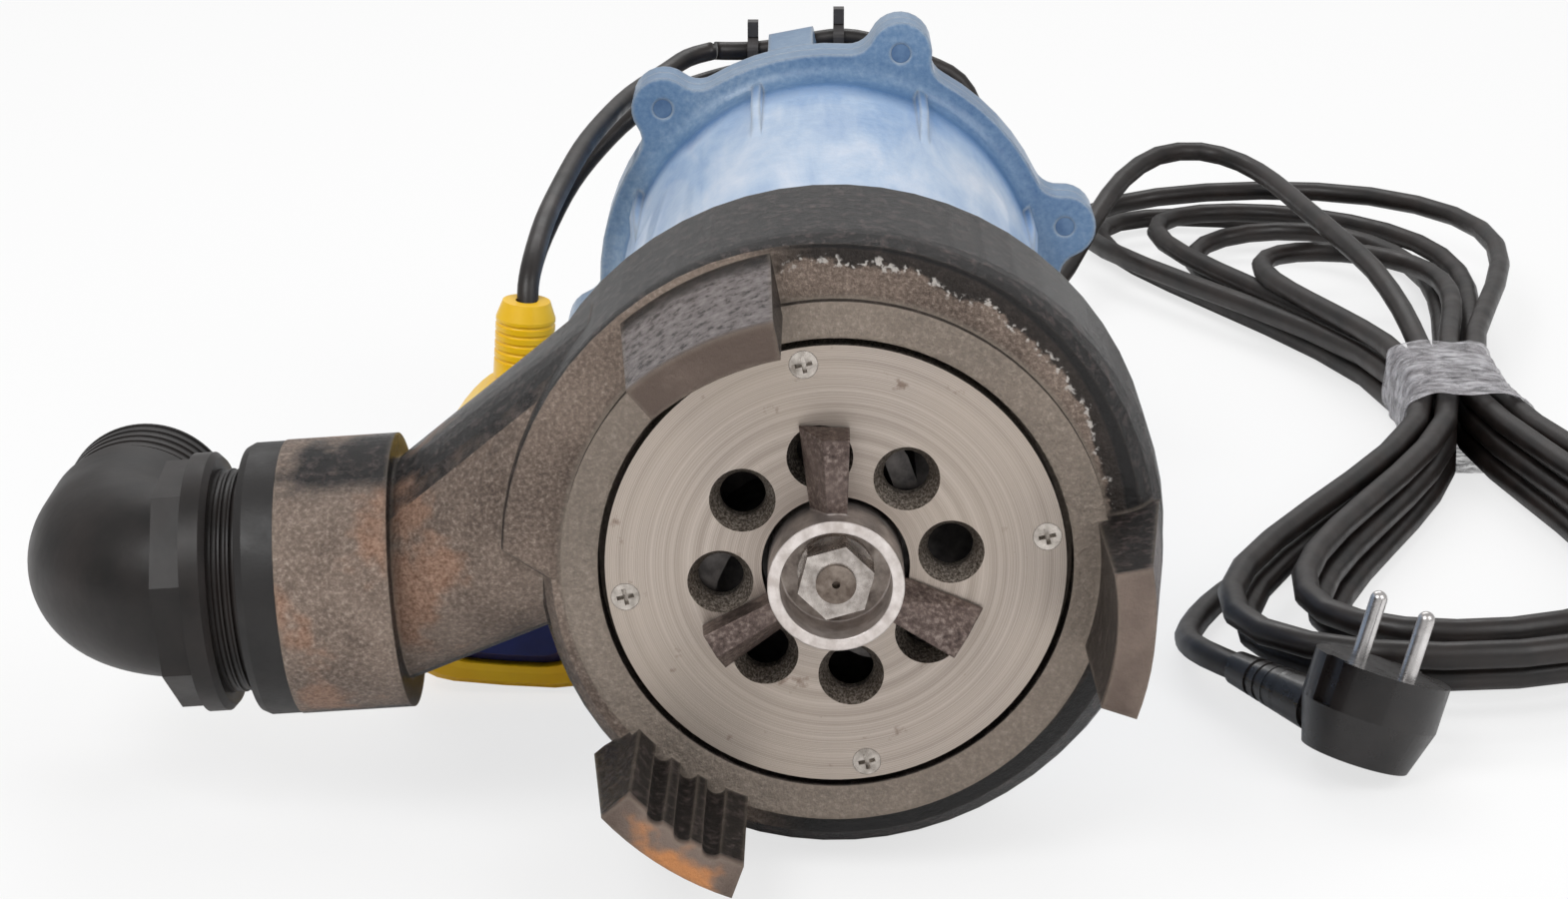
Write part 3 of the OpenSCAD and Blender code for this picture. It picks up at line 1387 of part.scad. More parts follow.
module plug_body() color("black") plug_place() difference() {
    union() {
        translate([0, 0, -plug_face_t]) cylinder(d = plug_d, h = plug_face_t);
        translate([0, 0, -plug_depth]) cylinder(d1 = plug_back_d, d2 = plug_d, h = plug_back_t);
    }
    for (s = [-1, 1]) {
        translate([s * pin_spacing / 2, 0, -plug_face_t]) cylinder(d = pin_d * pin_shank_share, h = plug_face_t + over);
        translate([0, s * plug_d / 2, 0]) cube([pin_d * 1.4, pin_d, 2 * plug_face_t], center = true);
    }
    translate([-plug_d / 2, 0, -boot_level]) rotate([0, 90, 0]) cylinder(d = boot_d - boot_step, h = pin_spacing / 2, center = true);
}

module plug_pins() color("silver") plug_place() for (s = [-1, 1])
    translate([s * pin_spacing / 2, 0, 0]) {
        translate([0, 0, -plug_face_t]) cylinder(d = pin_d * pin_shank_share, h = plug_face_t + over);
        cylinder(d = pin_d, h = pin_len - pin_d / 2);
        translate([0, 0, pin_len - pin_d / 2]) sphere(d = pin_d);
    }

// Ribbed strain relief between the plug and its cord
module plug_boot() color("black") plug_place()
    translate([-plug_d / 2 + pin_spacing / 4 - fit, 0, -boot_level]) rotate([0, -90, 0]) difference() {
        union() {
            cylinder(d = boot_d - boot_step - 2 * fit, h = pin_spacing / 2);
            translate([0, 0, pin_spacing / 4 + fit]) cylinder(d1 = boot_d, d2 = cord_d + boot_step, h = boot_len);
        }
        for (i = [0 : boot_grooves - 1])
            translate([0, 0, boot_len * (0.5 + 0.12 * i)]) rotate_extrude()
                translate([boot_d / 2 - i * boot_taper, 0]) square([boot_step, boot_groove_w], center = true);
        translate([0, 0, boot_len * 0.4]) cylinder(d = cord_d + fit, h = boot_len);
    }

pump_casing();
suction_plate();
plate_screws();
seal_plate();
casing_ring();
casing_bolts();
seal_seat();
motor_housing();
oil_plug();
shaft_lip_seal();
stator_core();
stator_winding();
lower_bearing_outer();
upper_bearing_outer();
bearing_bracket();
cover_ring();
top_cover();
cover_bolts();
capacitor();
capacitor_clip();
terminal_block();
mains_gland();
mains_gland_nut();
float_gland_nut();
cable_ties();
outlet_ring();
outlet_elbow();
shaft();
rotor_core();
rotor_cage();
impeller();
drive_key();
cutter();
cutter_washer();
cutter_nut();
seal_face();
seal_spring();
lower_bearing_inner();
upper_bearing_inner();
lower_bearing_balls();
upper_bearing_balls();
float_back();
float_front();
float_gland();
ball_race();
float_microswitch();
switch_ball();
switch_plunger();
float_cable();
float_cable_slack();
mains_cord();
cord_hank();
hank_tape();
plug_boot();
plug_body();
plug_pins();
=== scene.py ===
import math
import bpy
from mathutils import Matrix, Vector, noise


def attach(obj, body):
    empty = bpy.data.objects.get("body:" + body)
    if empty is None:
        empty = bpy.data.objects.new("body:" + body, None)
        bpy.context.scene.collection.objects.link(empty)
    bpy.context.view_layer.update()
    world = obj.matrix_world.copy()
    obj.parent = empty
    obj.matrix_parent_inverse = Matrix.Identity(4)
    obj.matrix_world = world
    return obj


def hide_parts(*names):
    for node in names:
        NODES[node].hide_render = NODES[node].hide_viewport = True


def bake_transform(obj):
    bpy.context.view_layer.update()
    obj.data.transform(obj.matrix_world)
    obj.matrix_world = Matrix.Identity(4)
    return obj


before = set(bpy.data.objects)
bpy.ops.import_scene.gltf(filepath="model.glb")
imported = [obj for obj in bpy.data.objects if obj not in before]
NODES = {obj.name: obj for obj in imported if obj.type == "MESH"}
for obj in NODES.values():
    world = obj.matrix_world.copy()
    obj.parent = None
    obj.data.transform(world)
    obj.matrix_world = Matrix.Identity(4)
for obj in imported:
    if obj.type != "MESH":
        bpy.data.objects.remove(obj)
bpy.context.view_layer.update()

scene = bpy.context.scene
MM = 0.001


def link_looking(name, data, at, along):
    """Link a camera or a lamp that looks along a direction, with its upper side up."""
    obj = bpy.data.objects.new(name, data)
    scene.collection.objects.link(obj)
    obj.location = at
    obj.rotation_mode = "QUATERNION"
    obj.rotation_quaternion = Vector(along).to_track_quat("-Z", "Y")
    return obj


# ---------------------------------------------------------------- camera
CAMERA_AT = (0.0585, -0.9678, 0.38097)
CAMERA_ALONG = (-0.00655, 0.950, -0.3123)

cam_data = bpy.data.cameras.new("camera")
cam_data.lens = 79.47
cam_data.sensor_width = 36.0
scene.camera = link_looking("camera", cam_data, CAMERA_AT, CAMERA_ALONG)
scene.view_settings.view_transform = "Standard"


# ---------------------------------------------------------------- meshes along a path
def spline_point(a, b, c, d, t):
    """The point at share t between b and c, on the curve through a, b, c and d."""
    return 0.5 * ((2 * b) + (c - a) * t + (2 * a - 5 * b + 4 * c - d) * t * t
                  + (3 * b - a - 3 * c + d) * t * t * t)


def smooth(points, steps):
    """A smooth curve through the points, with so many steps from each to the next."""
    p = [Vector(q) for q in points]
    last = len(p) - 1
    out = []
    for i in range(last):
        for k in range(steps):
            out.append(spline_point(p[max(i - 1, 0)], p[i], p[i + 1], p[min(i + 2, last)], k / steps))
    out.append(p[last])
    return out


def link_mesh(name, verts, faces, smooth_shade=True):
    mesh = bpy.data.meshes.new(name)
    mesh.from_pydata([tuple(v) for v in verts], [], faces)
    mesh.validate()
    for poly in mesh.polygons:
        poly.use_smooth = smooth_shade
    obj = bpy.data.objects.new(name, mesh)
    scene.collection.objects.link(obj)
    return obj


def ring_faces(rings, around):
    """The faces between rings of points that follow one another."""
    faces = []
    for j in range(rings - 1):
        for i in range(around):
            b, n = j * around, (i + 1) % around
            faces.append((b + i, b + n, b + around + n, b + around + i))
    return faces


def tube(name, path, diameter, sides=16):
    """A mesh tube along points in metres, its section carried without twist."""
    r = diameter / 2
    count = len(path)
    tangents = [(path[min(i + 1, count - 1)] - path[max(i - 1, 0)]).normalized() for i in range(count)]
    hint = Vector((1, 0, 0)) if abs(tangents[0].z) > 0.9 else Vector((0, 0, 1))
    side = tangents[0].cross(hint).normalized()
    verts = []
    for p, t in zip(path, tangents):
        side = (side - side.dot(t) * t).normalized()
        up = side.cross(t)
        for k in range(sides):
            a = 2 * math.pi * k / sides
            verts.append(p + r * (math.cos(a) * side + math.sin(a) * up))
    faces = ring_faces(count, sides)
    faces.append(tuple(range(sides)))
    faces.append(tuple(reversed(range((count - 1) * sides, count * sides))))
    return link_mesh(name, verts, faces)


# ---------------------------------------------------------------- routes of the cords, in mm
MAINS_D = 8
MAINS_SIDES = 14
FLOAT_D = 6.2

# From the float's gland over the side of the barrel to the ties on the handle
FLOAT_CABLE = [
    (-21, -19, 111), (-21, -16, 117), (-20, -8, 123), (-18, 12, 129), (-15, 37, 133),
    (-11, 72, 136), (-6, 107, 137), (1, 142, 138), (11, 167, 140), (18, 181, 142), (26, 188, 143),
]
# From the ties in a loop behind the handle to the gland in the cover
FLOAT_SLACK = [
    (27.2, 188.6, 143), (33, 190.5, 142.5), (40, 191.5, 142.5), (47, 191.5, 143.3), (54, 191.5, 144.6),
    (61, 191.5, 146), (69, 191.5, 147), (78, 191.5, 146), (88, 191.5, 142), (98, 191.5, 138.5),
    (110, 191.5, 132), (116, 191.5, 119), (111, 191.5, 105), (97, 191.5, 99), (83, 191.5, 105),
    (77, 191.5, 118), (76.5, 191.5, 129), (73, 191.5, 137.5), (67, 191.5, 140.2), (61, 191.5, 139),
    (55, 191.5, 137.8), (48, 191.5, 136.5), (41, 191.5, 135.8), (33, 191, 134.5), (22, 188, 132),
    (11, 182, 129), (-1, 175, 123), (-11, 165, 115), (-20, 156, 105), (-27, 148, 93), (-32, 143, 81),
    (-34, 141.5, 69), (-31, 141.5, 59), (-24, 141.5, 52), (-14, 141.5, 49), (-5.5, 141.5, 51),
    (4, 141.5, 55.4),
]
# From the gland in the cover to the waist of the hank
MAINS = [
    (96, 164, 64), (96, 176, 64), (96, 190, 64), (97, 205, 62), (101, 230, 51), (108, 256, 34),
    (118, 283, 18), (132, 310, 9), (148, 336, 12), (162, 364, 20), (176, 404, 30), (190, 440, 37),
    (207, 466, 41), (226, 474, 41), (242, 462, 39), (252, 434, 37.5), (259, 394, 37), (267, 350, 36),
    (275, 310, 33.5), (280, 275, 28), (281.6, 248, 23.4), (281.6, 228, 22.6),
]
# The middle of the waist, the step from one pass of the cord to the next, the height of the
# lowest pass and the length of the waist
HANK_X, HANK_Y, STEP, LOW, WAIST = 286, 206, 8.8, 5, 44
# Each lobe: how far it reaches from the waist, half its width, then the column and the layer
# in which it leaves the waist and those in which it comes back
NEAR_LOBES = [
    (228, 50, -0.5, 2, 0.5, 2), (246, 64, -1.5, 2, 1.5, 2), (240, 60, -1.5, 1, 1.5, 1),
    (222, 46, -0.5, 1, 0.5, 1), (216, 42, -0.5, 0, 0.5, 0),
]
FAR_LOBES = [
    (150, 27, 0.5, 2, -1.5, 2), (262, 69, 1.5, 2, -1.5, 1), (248, 47, 1.5, 1, -0.5, 1),
    (226, 36, 0.5, 1, -0.5, 0), (274, 52, 0.5, 0, -1.5, 0),
]
LOBE_POINTS = 24
LOBE_SWELL = 1.16        # gives the sine's two bulges their full width
LOBE_LEAN = 0.0008       # how far long lobes lean towards the pump
# The share of a lobe at which it starts to climb to its last layer, and the share it takes
CLIMB_START, CLIMB_SPAN = 0.35, 0.35
# From the waist to the plug
TAIL = [
    (265, 160, 5), (252, 128, 5), (234, 98, 5), (213, 70, 5), (195, 46, 5), (182, 24, 5),
    (174, 4, 5.2), (171.5, -14, 8), (174, -33, 11.8), (181.8, -46.7, 12.8), (185.8, -52.8, 12.8),
    (190.1, -59.5, 12.8),
]


def lobe_point(lobe, u, way):
    """The point at share u of a lobe, on the near side (way -1) or the far side (way 1)."""
    length, half, col_a, low_a, col_b, low_b = lobe
    s = math.sin(math.pi * u)
    turn = (1 - math.cos(math.pi * u)) / 2
    column = STEP * (col_a + (col_b - col_a) * turn)
    swell = half * LOBE_SWELL * math.sin(2 * math.pi * u) * math.sqrt(max(s, 0))
    lean = LOBE_LEAN * (length * s) ** 2
    e = max(0, min(1, (u - CLIMB_START) / CLIMB_SPAN))
    e = e * e * (3 - 2 * e)
    z = LOW + STEP * (low_a + (low_b - low_a) * e)
    return Vector((HANK_X + column + way * swell - lean, HANK_Y + way * (WAIST / 2 + length * s), z))


def hank_path():
    path = []
    for near, far in zip(NEAR_LOBES, FAR_LOBES):
        for lobe, way in ((near, -1), (far, 1)):
            path += [lobe_point(lobe, i / LOBE_POINTS, way) for i in range(LOBE_POINTS + 1)]
    path.append(Vector((HANK_X - 1.5 * STEP, HANK_Y - WAIST / 2, LOW)))
    return path + smooth(TAIL, 2)


mains_path = [p * MM for p in smooth(MAINS, 2) + hank_path()]
mains = tube("mains_lead", mains_path, MAINS_D * MM, MAINS_SIDES)
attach(mains, "pump")
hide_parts("mains_cord", "cord_hank")
slack_path = [p * MM for p in reversed(smooth(FLOAT_SLACK, 3))]
slack = tube("float_lead_slack", slack_path, FLOAT_D * MM)
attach(slack, "pump")
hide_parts("float_cable_slack")
cable_path = [p * MM for p in reversed(smooth(FLOAT_CABLE, 3))]
cable = tube("float_lead", cable_path, FLOAT_D * MM)
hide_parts("float_cable")
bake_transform(cable)

# ---------------------------------------------------------------- tape round the hank, in mm
TAPE_AROUND, TAPE_ALONG = 120, 66
TAPE_NEAR, TAPE_FAR = 19, 3      # how far it passes the near and the far end of the waist
TAPE_SQUARE = 0.45               # power that turns the round section into a rounded box
TAPE_WIDEN = 0.045
TAPE_FLARE = 0.7
TAPE_PULL = 0.7                  # how far a crease draws the film along, as a share of its height
TAPE_THICK = 0.12
TAPE_LEAST_Z = 0.25


def crumple(x, y, z):
    """How far the film stands out at a point: soft waves, and ridges that cross the hank."""
    wave = 1.3 * noise.noise(Vector((x * 0.10, y * 0.16, z * 0.10)))
    crease = noise.noise(Vector((x * 0.07 + 9, y * 0.33 + x * 0.05, z * 0.09)))
    return wave + max(0.9 * (1 - 2.4 * abs(crease)), 0)


def tape_sleeve():
    """Clear tape round the waist of the hank: a crumpled sleeve, wider at its near end."""
    half_w, half_h = 2 * STEP + 0.6, 1.5 * STEP + 0.4
    waist_near = HANK_Y - WAIST / 2
    middle_z = LOW - MAINS_D / 2 + half_h
    verts = []
    for j in range(TAPE_ALONG + 1):
        v = j / TAPE_ALONG
        y = waist_near - TAPE_NEAR + (WAIST + TAPE_NEAR + TAPE_FAR) * v
        wide = half_w + TAPE_WIDEN * max(waist_near - y, 0) ** 1.5
        flare = TAPE_FLARE * abs(2 * v - 1) ** 6
        for i in range(TAPE_AROUND):
            a = 2 * math.pi * i / TAPE_AROUND
            ca, sa = math.cos(a), math.sin(a)
            x = wide * math.copysign(abs(ca) ** TAPE_SQUARE, ca)
            z = half_h * math.copysign(abs(sa) ** TAPE_SQUARE, sa)
            n = crumple(x, y, z)
            k = 1 + (n + flare) / math.hypot(half_w, half_h)
            height = max(middle_z + z * k, TAPE_LEAST_Z)
            verts.append(Vector((HANK_X + x * k, y + TAPE_PULL * n, height)) * MM)
    obj = link_mesh("hank_wrap", verts, ring_faces(TAPE_ALONG + 1, TAPE_AROUND))
    solid = obj.modifiers.new("film", "SOLIDIFY")
    solid.thickness = TAPE_THICK * MM
    solid.offset = 0
    return obj


wrap = tape_sleeve()
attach(wrap, "pump")
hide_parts("hank_tape")

# ---------------------------------------------------------------- materials
# The shaft runs along Y at this X and Z, in metres
SHAFT_X, SHAFT_Z = 65.78 * MM, 84.22 * MM


def tone(rgb):
    """A colour from its three sRGB values of 0 to 255."""
    def lin(v):
        v /= 255
        return v / 12.92 if v <= 0.04045 else ((v + 0.055) / 1.055) ** 2.4
    return (*map(lin, rgb), 1.0)


class Mat:
    """A node material on object coordinates, which are metres in the part's frame.

    The colours in a ramp or a mix are sRGB values of 0 to 255, and those of a mix may be sockets.
    """

    def __init__(self, name, rough=0.5, metal=0.0):
        self.m = bpy.data.materials.new(name)
        self.m.use_nodes = True
        self.t = self.m.node_tree
        self.b = self.t.nodes["Principled BSDF"]
        self.b.inputs["Roughness"].default_value = rough
        self.b.inputs["Metallic"].default_value = metal
        self.co = self.node("ShaderNodeTexCoord").outputs["Object"]
        self.soft = None

    def put(self, socket, value):
        if isinstance(value, bpy.types.NodeSocket):
            self.t.links.new(value, socket)
        else:
            socket.default_value = value

    def set(self, name, value):
        """Set an input of the surface."""
        self.put(self.b.inputs[name], value)

    def colour(self, value):
        self.set("Base Color", value)

    def rough(self, value):
        self.set("Roughness", value)

    def node(self, kind, inputs=None, **fields):
        n = self.t.nodes.new(kind)
        for field, value in fields.items():
            setattr(n, field, value)
        for key, value in (inputs or {}).items():
            self.put(n.inputs[key], value)
        return n

    def math(self, op, a, b=0.5):
        return self.node("ShaderNodeMath", {0: a, 1: b}, operation=op).outputs[0]

    def add(self, a, b):
        return self.math("ADD", a, b)

    def sub(self, a, b):
        return self.math("SUBTRACT", a, b)

    def mul(self, a, b):
        return self.math("MULTIPLY", a, b)

    def most(self, a, b):
        return self.math("MAXIMUM", a, b)

    def range(self, value, lo, hi, to_lo=0.0, to_hi=1.0, smooth=False):
        """Map lo to to_lo and hi to to_hi, and hold both values beyond them."""
        return self.node("ShaderNodeMapRange", {0: value, 1: lo, 2: hi, 3: to_lo, 4: to_hi},
                         interpolation_type="SMOOTHSTEP" if smooth else "LINEAR").outputs[0]

    def scaled(self, scale):
        return self.node("ShaderNodeMapping", {"Vector": self.co, "Scale": scale}).outputs[0]

    def noise(self, scale, detail=6.0, rough=0.55, vector=None, warp=0.0):
        return self.node("ShaderNodeTexNoise", {
            "Vector": vector or self.co, "Scale": scale, "Detail": detail, "Roughness": rough,
            "Distortion": warp}).outputs[0]

    def rings(self, radius, scale, detail, rough):
        """Noise that changes with the radius only, as a lathe leaves it."""
        return self.node("ShaderNodeTexNoise", {
            "W": radius, "Scale": scale, "Detail": detail, "Roughness": rough},
            noise_dimensions="1D").outputs[0]

    def ramp(self, fac, stops):
        n = self.node("ShaderNodeValToRGB", {0: fac})
        r = n.color_ramp
        while len(r.elements) < len(stops):
            r.elements.new(0.5)
        for e, (pos, rgb) in zip(r.elements, stops):
            e.position = pos
            e.color = tone(rgb)
        return n.outputs[0]

    def mix(self, fac, a, b):
        a, b = (tone(v) if isinstance(v, tuple) else v for v in (a, b))
        return self.node("ShaderNodeMix", {0: fac, 6: a, 7: b}, data_type="RGBA").outputs[2]

    def split(self, vector):
        return self.node("ShaderNodeSeparateXYZ", {0: vector}).outputs

    def geometry_normal(self):
        return self.node("ShaderNodeNewGeometry").outputs["Normal"]

    def xyz(self):
        return self.split(self.co)

    def normal(self):
        return self.split(self.geometry_normal())

    def from_shaft(self):
        """The distance from the shaft's axis."""
        x, _, z = self.xyz()
        dx, dz = self.sub(x, SHAFT_X), self.sub(z, SHAFT_Z)
        return self.math("SQRT", self.add(self.mul(dx, dx), self.mul(dz, dz)))

    def edge(self, radius):
        """Round the edges with the normal, and give where they are: 0 on flats, more at edges."""
        bevel = self.node("ShaderNodeBevel", {"Radius": radius}, samples=6)
        self.soft = bevel.outputs[0]
        dot = self.node("ShaderNodeVectorMath", {0: self.soft, 1: self.geometry_normal()},
                        operation="DOT_PRODUCT")
        return self.sub(1.0, dot.outputs["Value"])

    def bump(self, height, strength, distance):
        inputs = {"Strength": strength, "Distance": distance, "Height": height}
        if self.soft is not None:
            inputs["Normal"] = self.soft
        self.set("Normal", self.node("ShaderNodeBump", inputs).outputs[0])


# Places on the casing, in metres along Y: its face lies at -0.1555, the tips of its feet at -0.1985.
# Each pair goes from where something starts to show to where it shows in full.
FACE_Y = (-0.140, -0.146)
BEHIND_FEET_Y = (-0.1562, -0.1552)
FOOT_FLANK_Y = (-0.160, -0.166)
FOOT_PAINT_Y = (-0.162, -0.164)
FOOT_RUST_Y = (-0.176, -0.190)
FOOT_TIP_Y = (-0.1955, -0.1975)
# Places on the casing, in metres along X: the neck, and the side of the pump away from it
NECK_X = (-0.004, -0.024)
NECK_SIDE_X = (0.046, 0.036)
OUTER_X = (SHAFT_X - 0.024, SHAFT_X - 0.006)
# Distance from the shaft at which the raised rim ends
RIM_R = (0.0700, 0.0685)
# The border of the paint on the face: its distance from the shaft at the shaft's height, how much
# that grows with height, and the lowest height over the shaft that counts
BORDER_R, BORDER_GROWTH, BORDER_LOWEST = 0.0722, 0.131, -0.01


def cast_iron():
    """The casing: bare iron where its face and neck are worn, black paint elsewhere."""
    m = Mat("cast_iron")
    rim_edge = m.edge(2.4 * MM)
    x, y, z = m.xyz()
    nx, ny, nz = m.normal()
    r = m.from_shaft()
    grain = m.noise(900, 8, 0.7)
    cloud = m.noise(28, 5, 0.6)
    ragged = m.noise(70, 6, 0.65)
    sheen_and_relief = m.noise(330, 7, 0.72)

    # bare iron, and paint with painted sheen: light grains that stand in for the glints of the glossy
    # paint
    raw = m.ramp(grain, [(0.28, (54, 45, 41)), (0.45, (110, 96, 87)), (0.56, (154, 137, 125)),
                         (0.70, (212, 198, 186))])
    warm = m.ramp(cloud, [(0.35, (92, 79, 71)), (0.5, (142, 125, 113)), (0.66, (176, 158, 144))])
    raw = m.mix(0.45, raw, warm)
    paint = m.ramp(ragged, [(0.3, (8, 6, 6)), (0.7, (26, 22, 21))])
    # painted sheen: the noise mixes light grains into the black paint in place of glints
    paint = m.mix(m.range(sheen_and_relief, 0.5, 0.68, 0.0, 0.75), paint, (92, 79, 77))

    # the face is bare, up to a ragged line on the shoulder
    front = m.range(m.add(m.mul(ny, -1.0), m.mul(ragged, 0.55)), 0.98, 1.16, smooth=True)
    face = m.mul(front, m.range(y, *FACE_Y))

    # the neck and the collar are half bare, with worn brown patches on faces that look up or forward;
    # faces that look down stay dark, partly as painted shade
    neck = m.range(x, *NECK_X, smooth=True)
    worn = m.range(m.add(m.noise(17, 4, 0.5), m.mul(ragged, 0.35)), 0.64, 0.76, smooth=True)
    # partly painted shade: bare patches are kept off faces that look down, so the neck's underside
    # stays black
    upward = m.range(m.add(nz, m.mul(ny, -0.8)), 0.0, 0.7)
    neck_bare = m.mul(neck, m.mul(worn, upward))
    # the side of the neck that looks the way of the face is bare as well
    forward = m.range(m.sub(m.mul(ragged, 0.3), ny), 0.62, 0.8, 0.0, 0.9, smooth=True)
    neck_bare = m.most(neck_bare, m.mul(forward, m.range(x, *NECK_SIDE_X)))
    bare = m.most(face, neck_bare)

    # rust on the neck and towards the tips of the feet, a greyer rim round the suction plate
    rust = m.mul(m.range(m.noise(34, 4, 0.55), 0.54, 0.64, smooth=True),
                 m.most(neck, m.range(y, *FOOT_RUST_Y)))
    raw = m.mix(rust, raw, m.ramp(grain, [(0.35, (122, 90, 72)), (0.65, (182, 150, 130))]))
    rim = m.mul(m.range(r, *RIM_R), m.range(ny, -0.8, -0.95))
    raw = m.mix(m.mul(rim, 0.5), raw, (148, 139, 128))

    # paint runs over the edge of the face on the outer side, with an uneven border
    level = m.most(m.sub(z, SHAFT_Z), BORDER_LOWEST)
    border = m.add(m.mul(level, BORDER_GROWTH), BORDER_R)
    past = m.add(m.sub(r, border), m.mul(m.sub(ragged, 0.5), 0.012))
    outer = m.range(x, *OUTER_X)
    band = m.mul(m.range(past, -0.0052, -0.0042), outer)
    behind_feet = m.range(y, *BEHIND_FEET_Y)
    bare = m.mul(bare, m.sub(1.0, m.mul(band, behind_feet)))

    # the tips of the feet are worn smooth, the rest of each foot is painted
    tip = m.range(y, *FOOT_TIP_Y)
    tip_raw = m.ramp(cloud, [(0.4, (100, 86, 78)), (0.6, (134, 118, 108))])
    raw = m.mix(tip, raw, m.mix(rust, tip_raw, (206, 142, 92)))
    bare = m.most(m.mul(bare, m.range(y, *FOOT_PAINT_Y, 1.0, 0.0)), tip)
    base = m.mix(bare, paint, raw)

    # the paint on the face is the blackest, with near-white specks along its border
    base = m.mix(m.mul(m.mul(band, front), behind_feet), base, (14, 11, 11))
    off_border = m.math("ABSOLUTE", m.add(past, 0.0047))
    border_specks = m.mul(m.range(off_border, 0.0013, 0.0004), m.range(m.noise(520, 3, 0.5), 0.54, 0.60))
    border_specks = m.mul(border_specks, m.mul(front, outer))
    base = m.mix(m.mul(border_specks, behind_feet), base, (226, 220, 214))

    # the outer sides of the feet are rough from the mould, grey with dark pits
    outward = m.add(m.mul(nx, m.sub(x, SHAFT_X)), m.mul(nz, m.sub(z, SHAFT_Z)))
    outward = m.math("DIVIDE", outward, r)
    flank = m.mul(m.range(outward, 0.5, 0.7),
                  m.mul(m.range(y, *FOOT_FLANK_Y), m.range(tip, 0, 1, 1.0, 0.0)))
    mould = m.ramp(m.noise(400, 5, 0.62), [(0.36, (48, 42, 41)), (0.43, (106, 98, 97)),
                                           (0.66, (146, 138, 137))])
    base = m.mix(m.mul(flank, 0.9), base, mould)

    # edges are rubbed a little lighter
    rubbed = m.range(m.add(rim_edge, m.mul(grain, 0.04)), 0.07, 0.2, 0.0, 0.35)
    m.colour(m.mix(rubbed, base, (168, 154, 140)))
    m.rough(m.range(bare, 0, 1, 0.27, 0.5))
    m.set("Metallic", m.range(bare, 0, 1, 0.0, 0.35))
    m.set("Specular IOR Level", 0.35)
    # the noise of the painted sheen also gives the paint its relief
    m.bump(m.add(m.mul(grain, 0.4), m.mul(sheen_and_relief, 1.3)), 0.8, 0.0014)
    return m.m


def turned_steel():
    """The suction plate: turned rings, some stains, and rough cones in its holes."""
    m = Mat("turned_steel", metal=0.85)
    r = m.from_shaft()
    fine = m.rings(r, 5200.0, 3.0, 0.6)
    broad = m.rings(r, 420.0, 2.0, 0.5)
    turned = m.add(m.mul(fine, 0.7), m.mul(broad, 0.3))
    base = m.ramp(turned, [(0.32, (150, 139, 130)), (0.5, (180, 168, 158)), (0.68, (206, 195, 186))])
    base = m.mix(m.range(m.noise(22, 4, 0.5), 0.4, 0.65, 0.0, 0.35), base, (192, 178, 163))
    stain = m.range(m.noise(140, 6, 0.6), 0.64, 0.72)
    base = m.mix(m.mul(stain, 0.6), base, (104, 78, 60))
    cone = m.range(m.normal()[1], -0.9, -0.55)
    cone_grain = m.ramp(m.noise(1500, 4, 0.7), [(0.36, (84, 76, 70)), (0.5, (140, 130, 120)),
                                                (0.64, (206, 196, 186))])
    m.colour(m.mix(cone, base, cone_grain))
    m.rough(m.range(fine, 0.3, 0.7, 0.36, 0.5))
    m.bump(fine, 0.25, 0.0003)
    return m.m


# Distances from the shaft on the cutter: the inside of the cupped hub and its outer side
CUP_R = (0.0134, 0.0139)
HUB_R = (0.0166, 0.0174)


def cutter_steel():
    """The cutter: a bright hub with a duller cup, and dark cast arms."""
    m = Mat("cutter_steel", metal=0.8)
    m.edge(0.7 * MM)
    r = m.from_shaft()
    grain = m.noise(700, 8, 0.7)
    arms = m.ramp(grain, [(0.3, (56, 47, 45)), (0.5, (102, 88, 83)), (0.72, (162, 148, 140))])
    arms = m.mix(m.range(m.noise(60), 0.45, 0.65, 0, 0.5), arms, (120, 106, 100))
    hub = m.ramp(m.noise(300), [(0.35, (196, 186, 180)), (0.65, (232, 224, 220))])
    cup = m.ramp(m.noise(220), [(0.35, (110, 100, 94)), (0.65, (170, 160, 152))])
    m.colour(m.mix(m.range(r, *HUB_R), m.mix(m.range(r, *CUP_R), cup, hub), arms))
    m.rough(m.range(r, *HUB_R, 0.28, 0.42))
    m.bump(grain, 0.35, 0.0005)
    return m.m


# Where painted shade darkens the pale paint of the barrel along Y, under the top flange, and where it
# gives way to that of the flanges
BARREL_SHADE_Y = (0.098, 0.116)
FLANGE_Y = (0.100, 0.108)


def blue_paint():
    """The housing and the cover: brushed pale blue on the barrel with painted shade under the top
    flange, plain blue behind it.
    """
    m = Mat("blue_paint")
    y = m.xyz()[1]
    strokes = m.noise(1.0, 6, 0.62, vector=m.scaled((75, 16, 75)), warp=0.4)
    soft = m.noise(16, 4, 0.5)
    grain = m.noise(520, 6, 0.65)
    barrel = m.ramp(m.add(m.mul(strokes, 0.55), m.mul(soft, 0.45)),
                    [(0.3, (112, 150, 198)), (0.5, (176, 197, 223)), (0.66, (212, 221, 236))])
    # painted shade: the barrel turns deep blue towards the underside of the top flange
    dark = m.range(m.add(y, m.mul(strokes, 0.03)), *BARREL_SHADE_Y, 0.0, 0.9)
    barrel = m.mix(dark, barrel, (58, 104, 156))
    flange = m.ramp(m.add(m.mul(soft, 0.6), m.mul(grain, 0.4)),
                    [(0.34, (74, 108, 148)), (0.5, (106, 136, 168)), (0.66, (146, 166, 188))])
    base = m.mix(m.range(y, *FLANGE_Y), barrel, flange)
    # bare metal shows where edges are rubbed
    worn = m.range(m.add(m.edge(2.2 * MM), m.mul(grain, 0.12)), 0.10, 0.2)
    m.colour(m.mix(m.mul(worn, 0.7), base, (178, 188, 198)))
    m.rough(m.range(grain, 0.35, 0.65, 0.3, 0.44))
    m.set("Coat Weight", 0.25)
    m.bump(m.add(m.mul(grain, 0.5), m.noise(180, 5, 0.6)), 0.28, 0.0008)
    return m.m


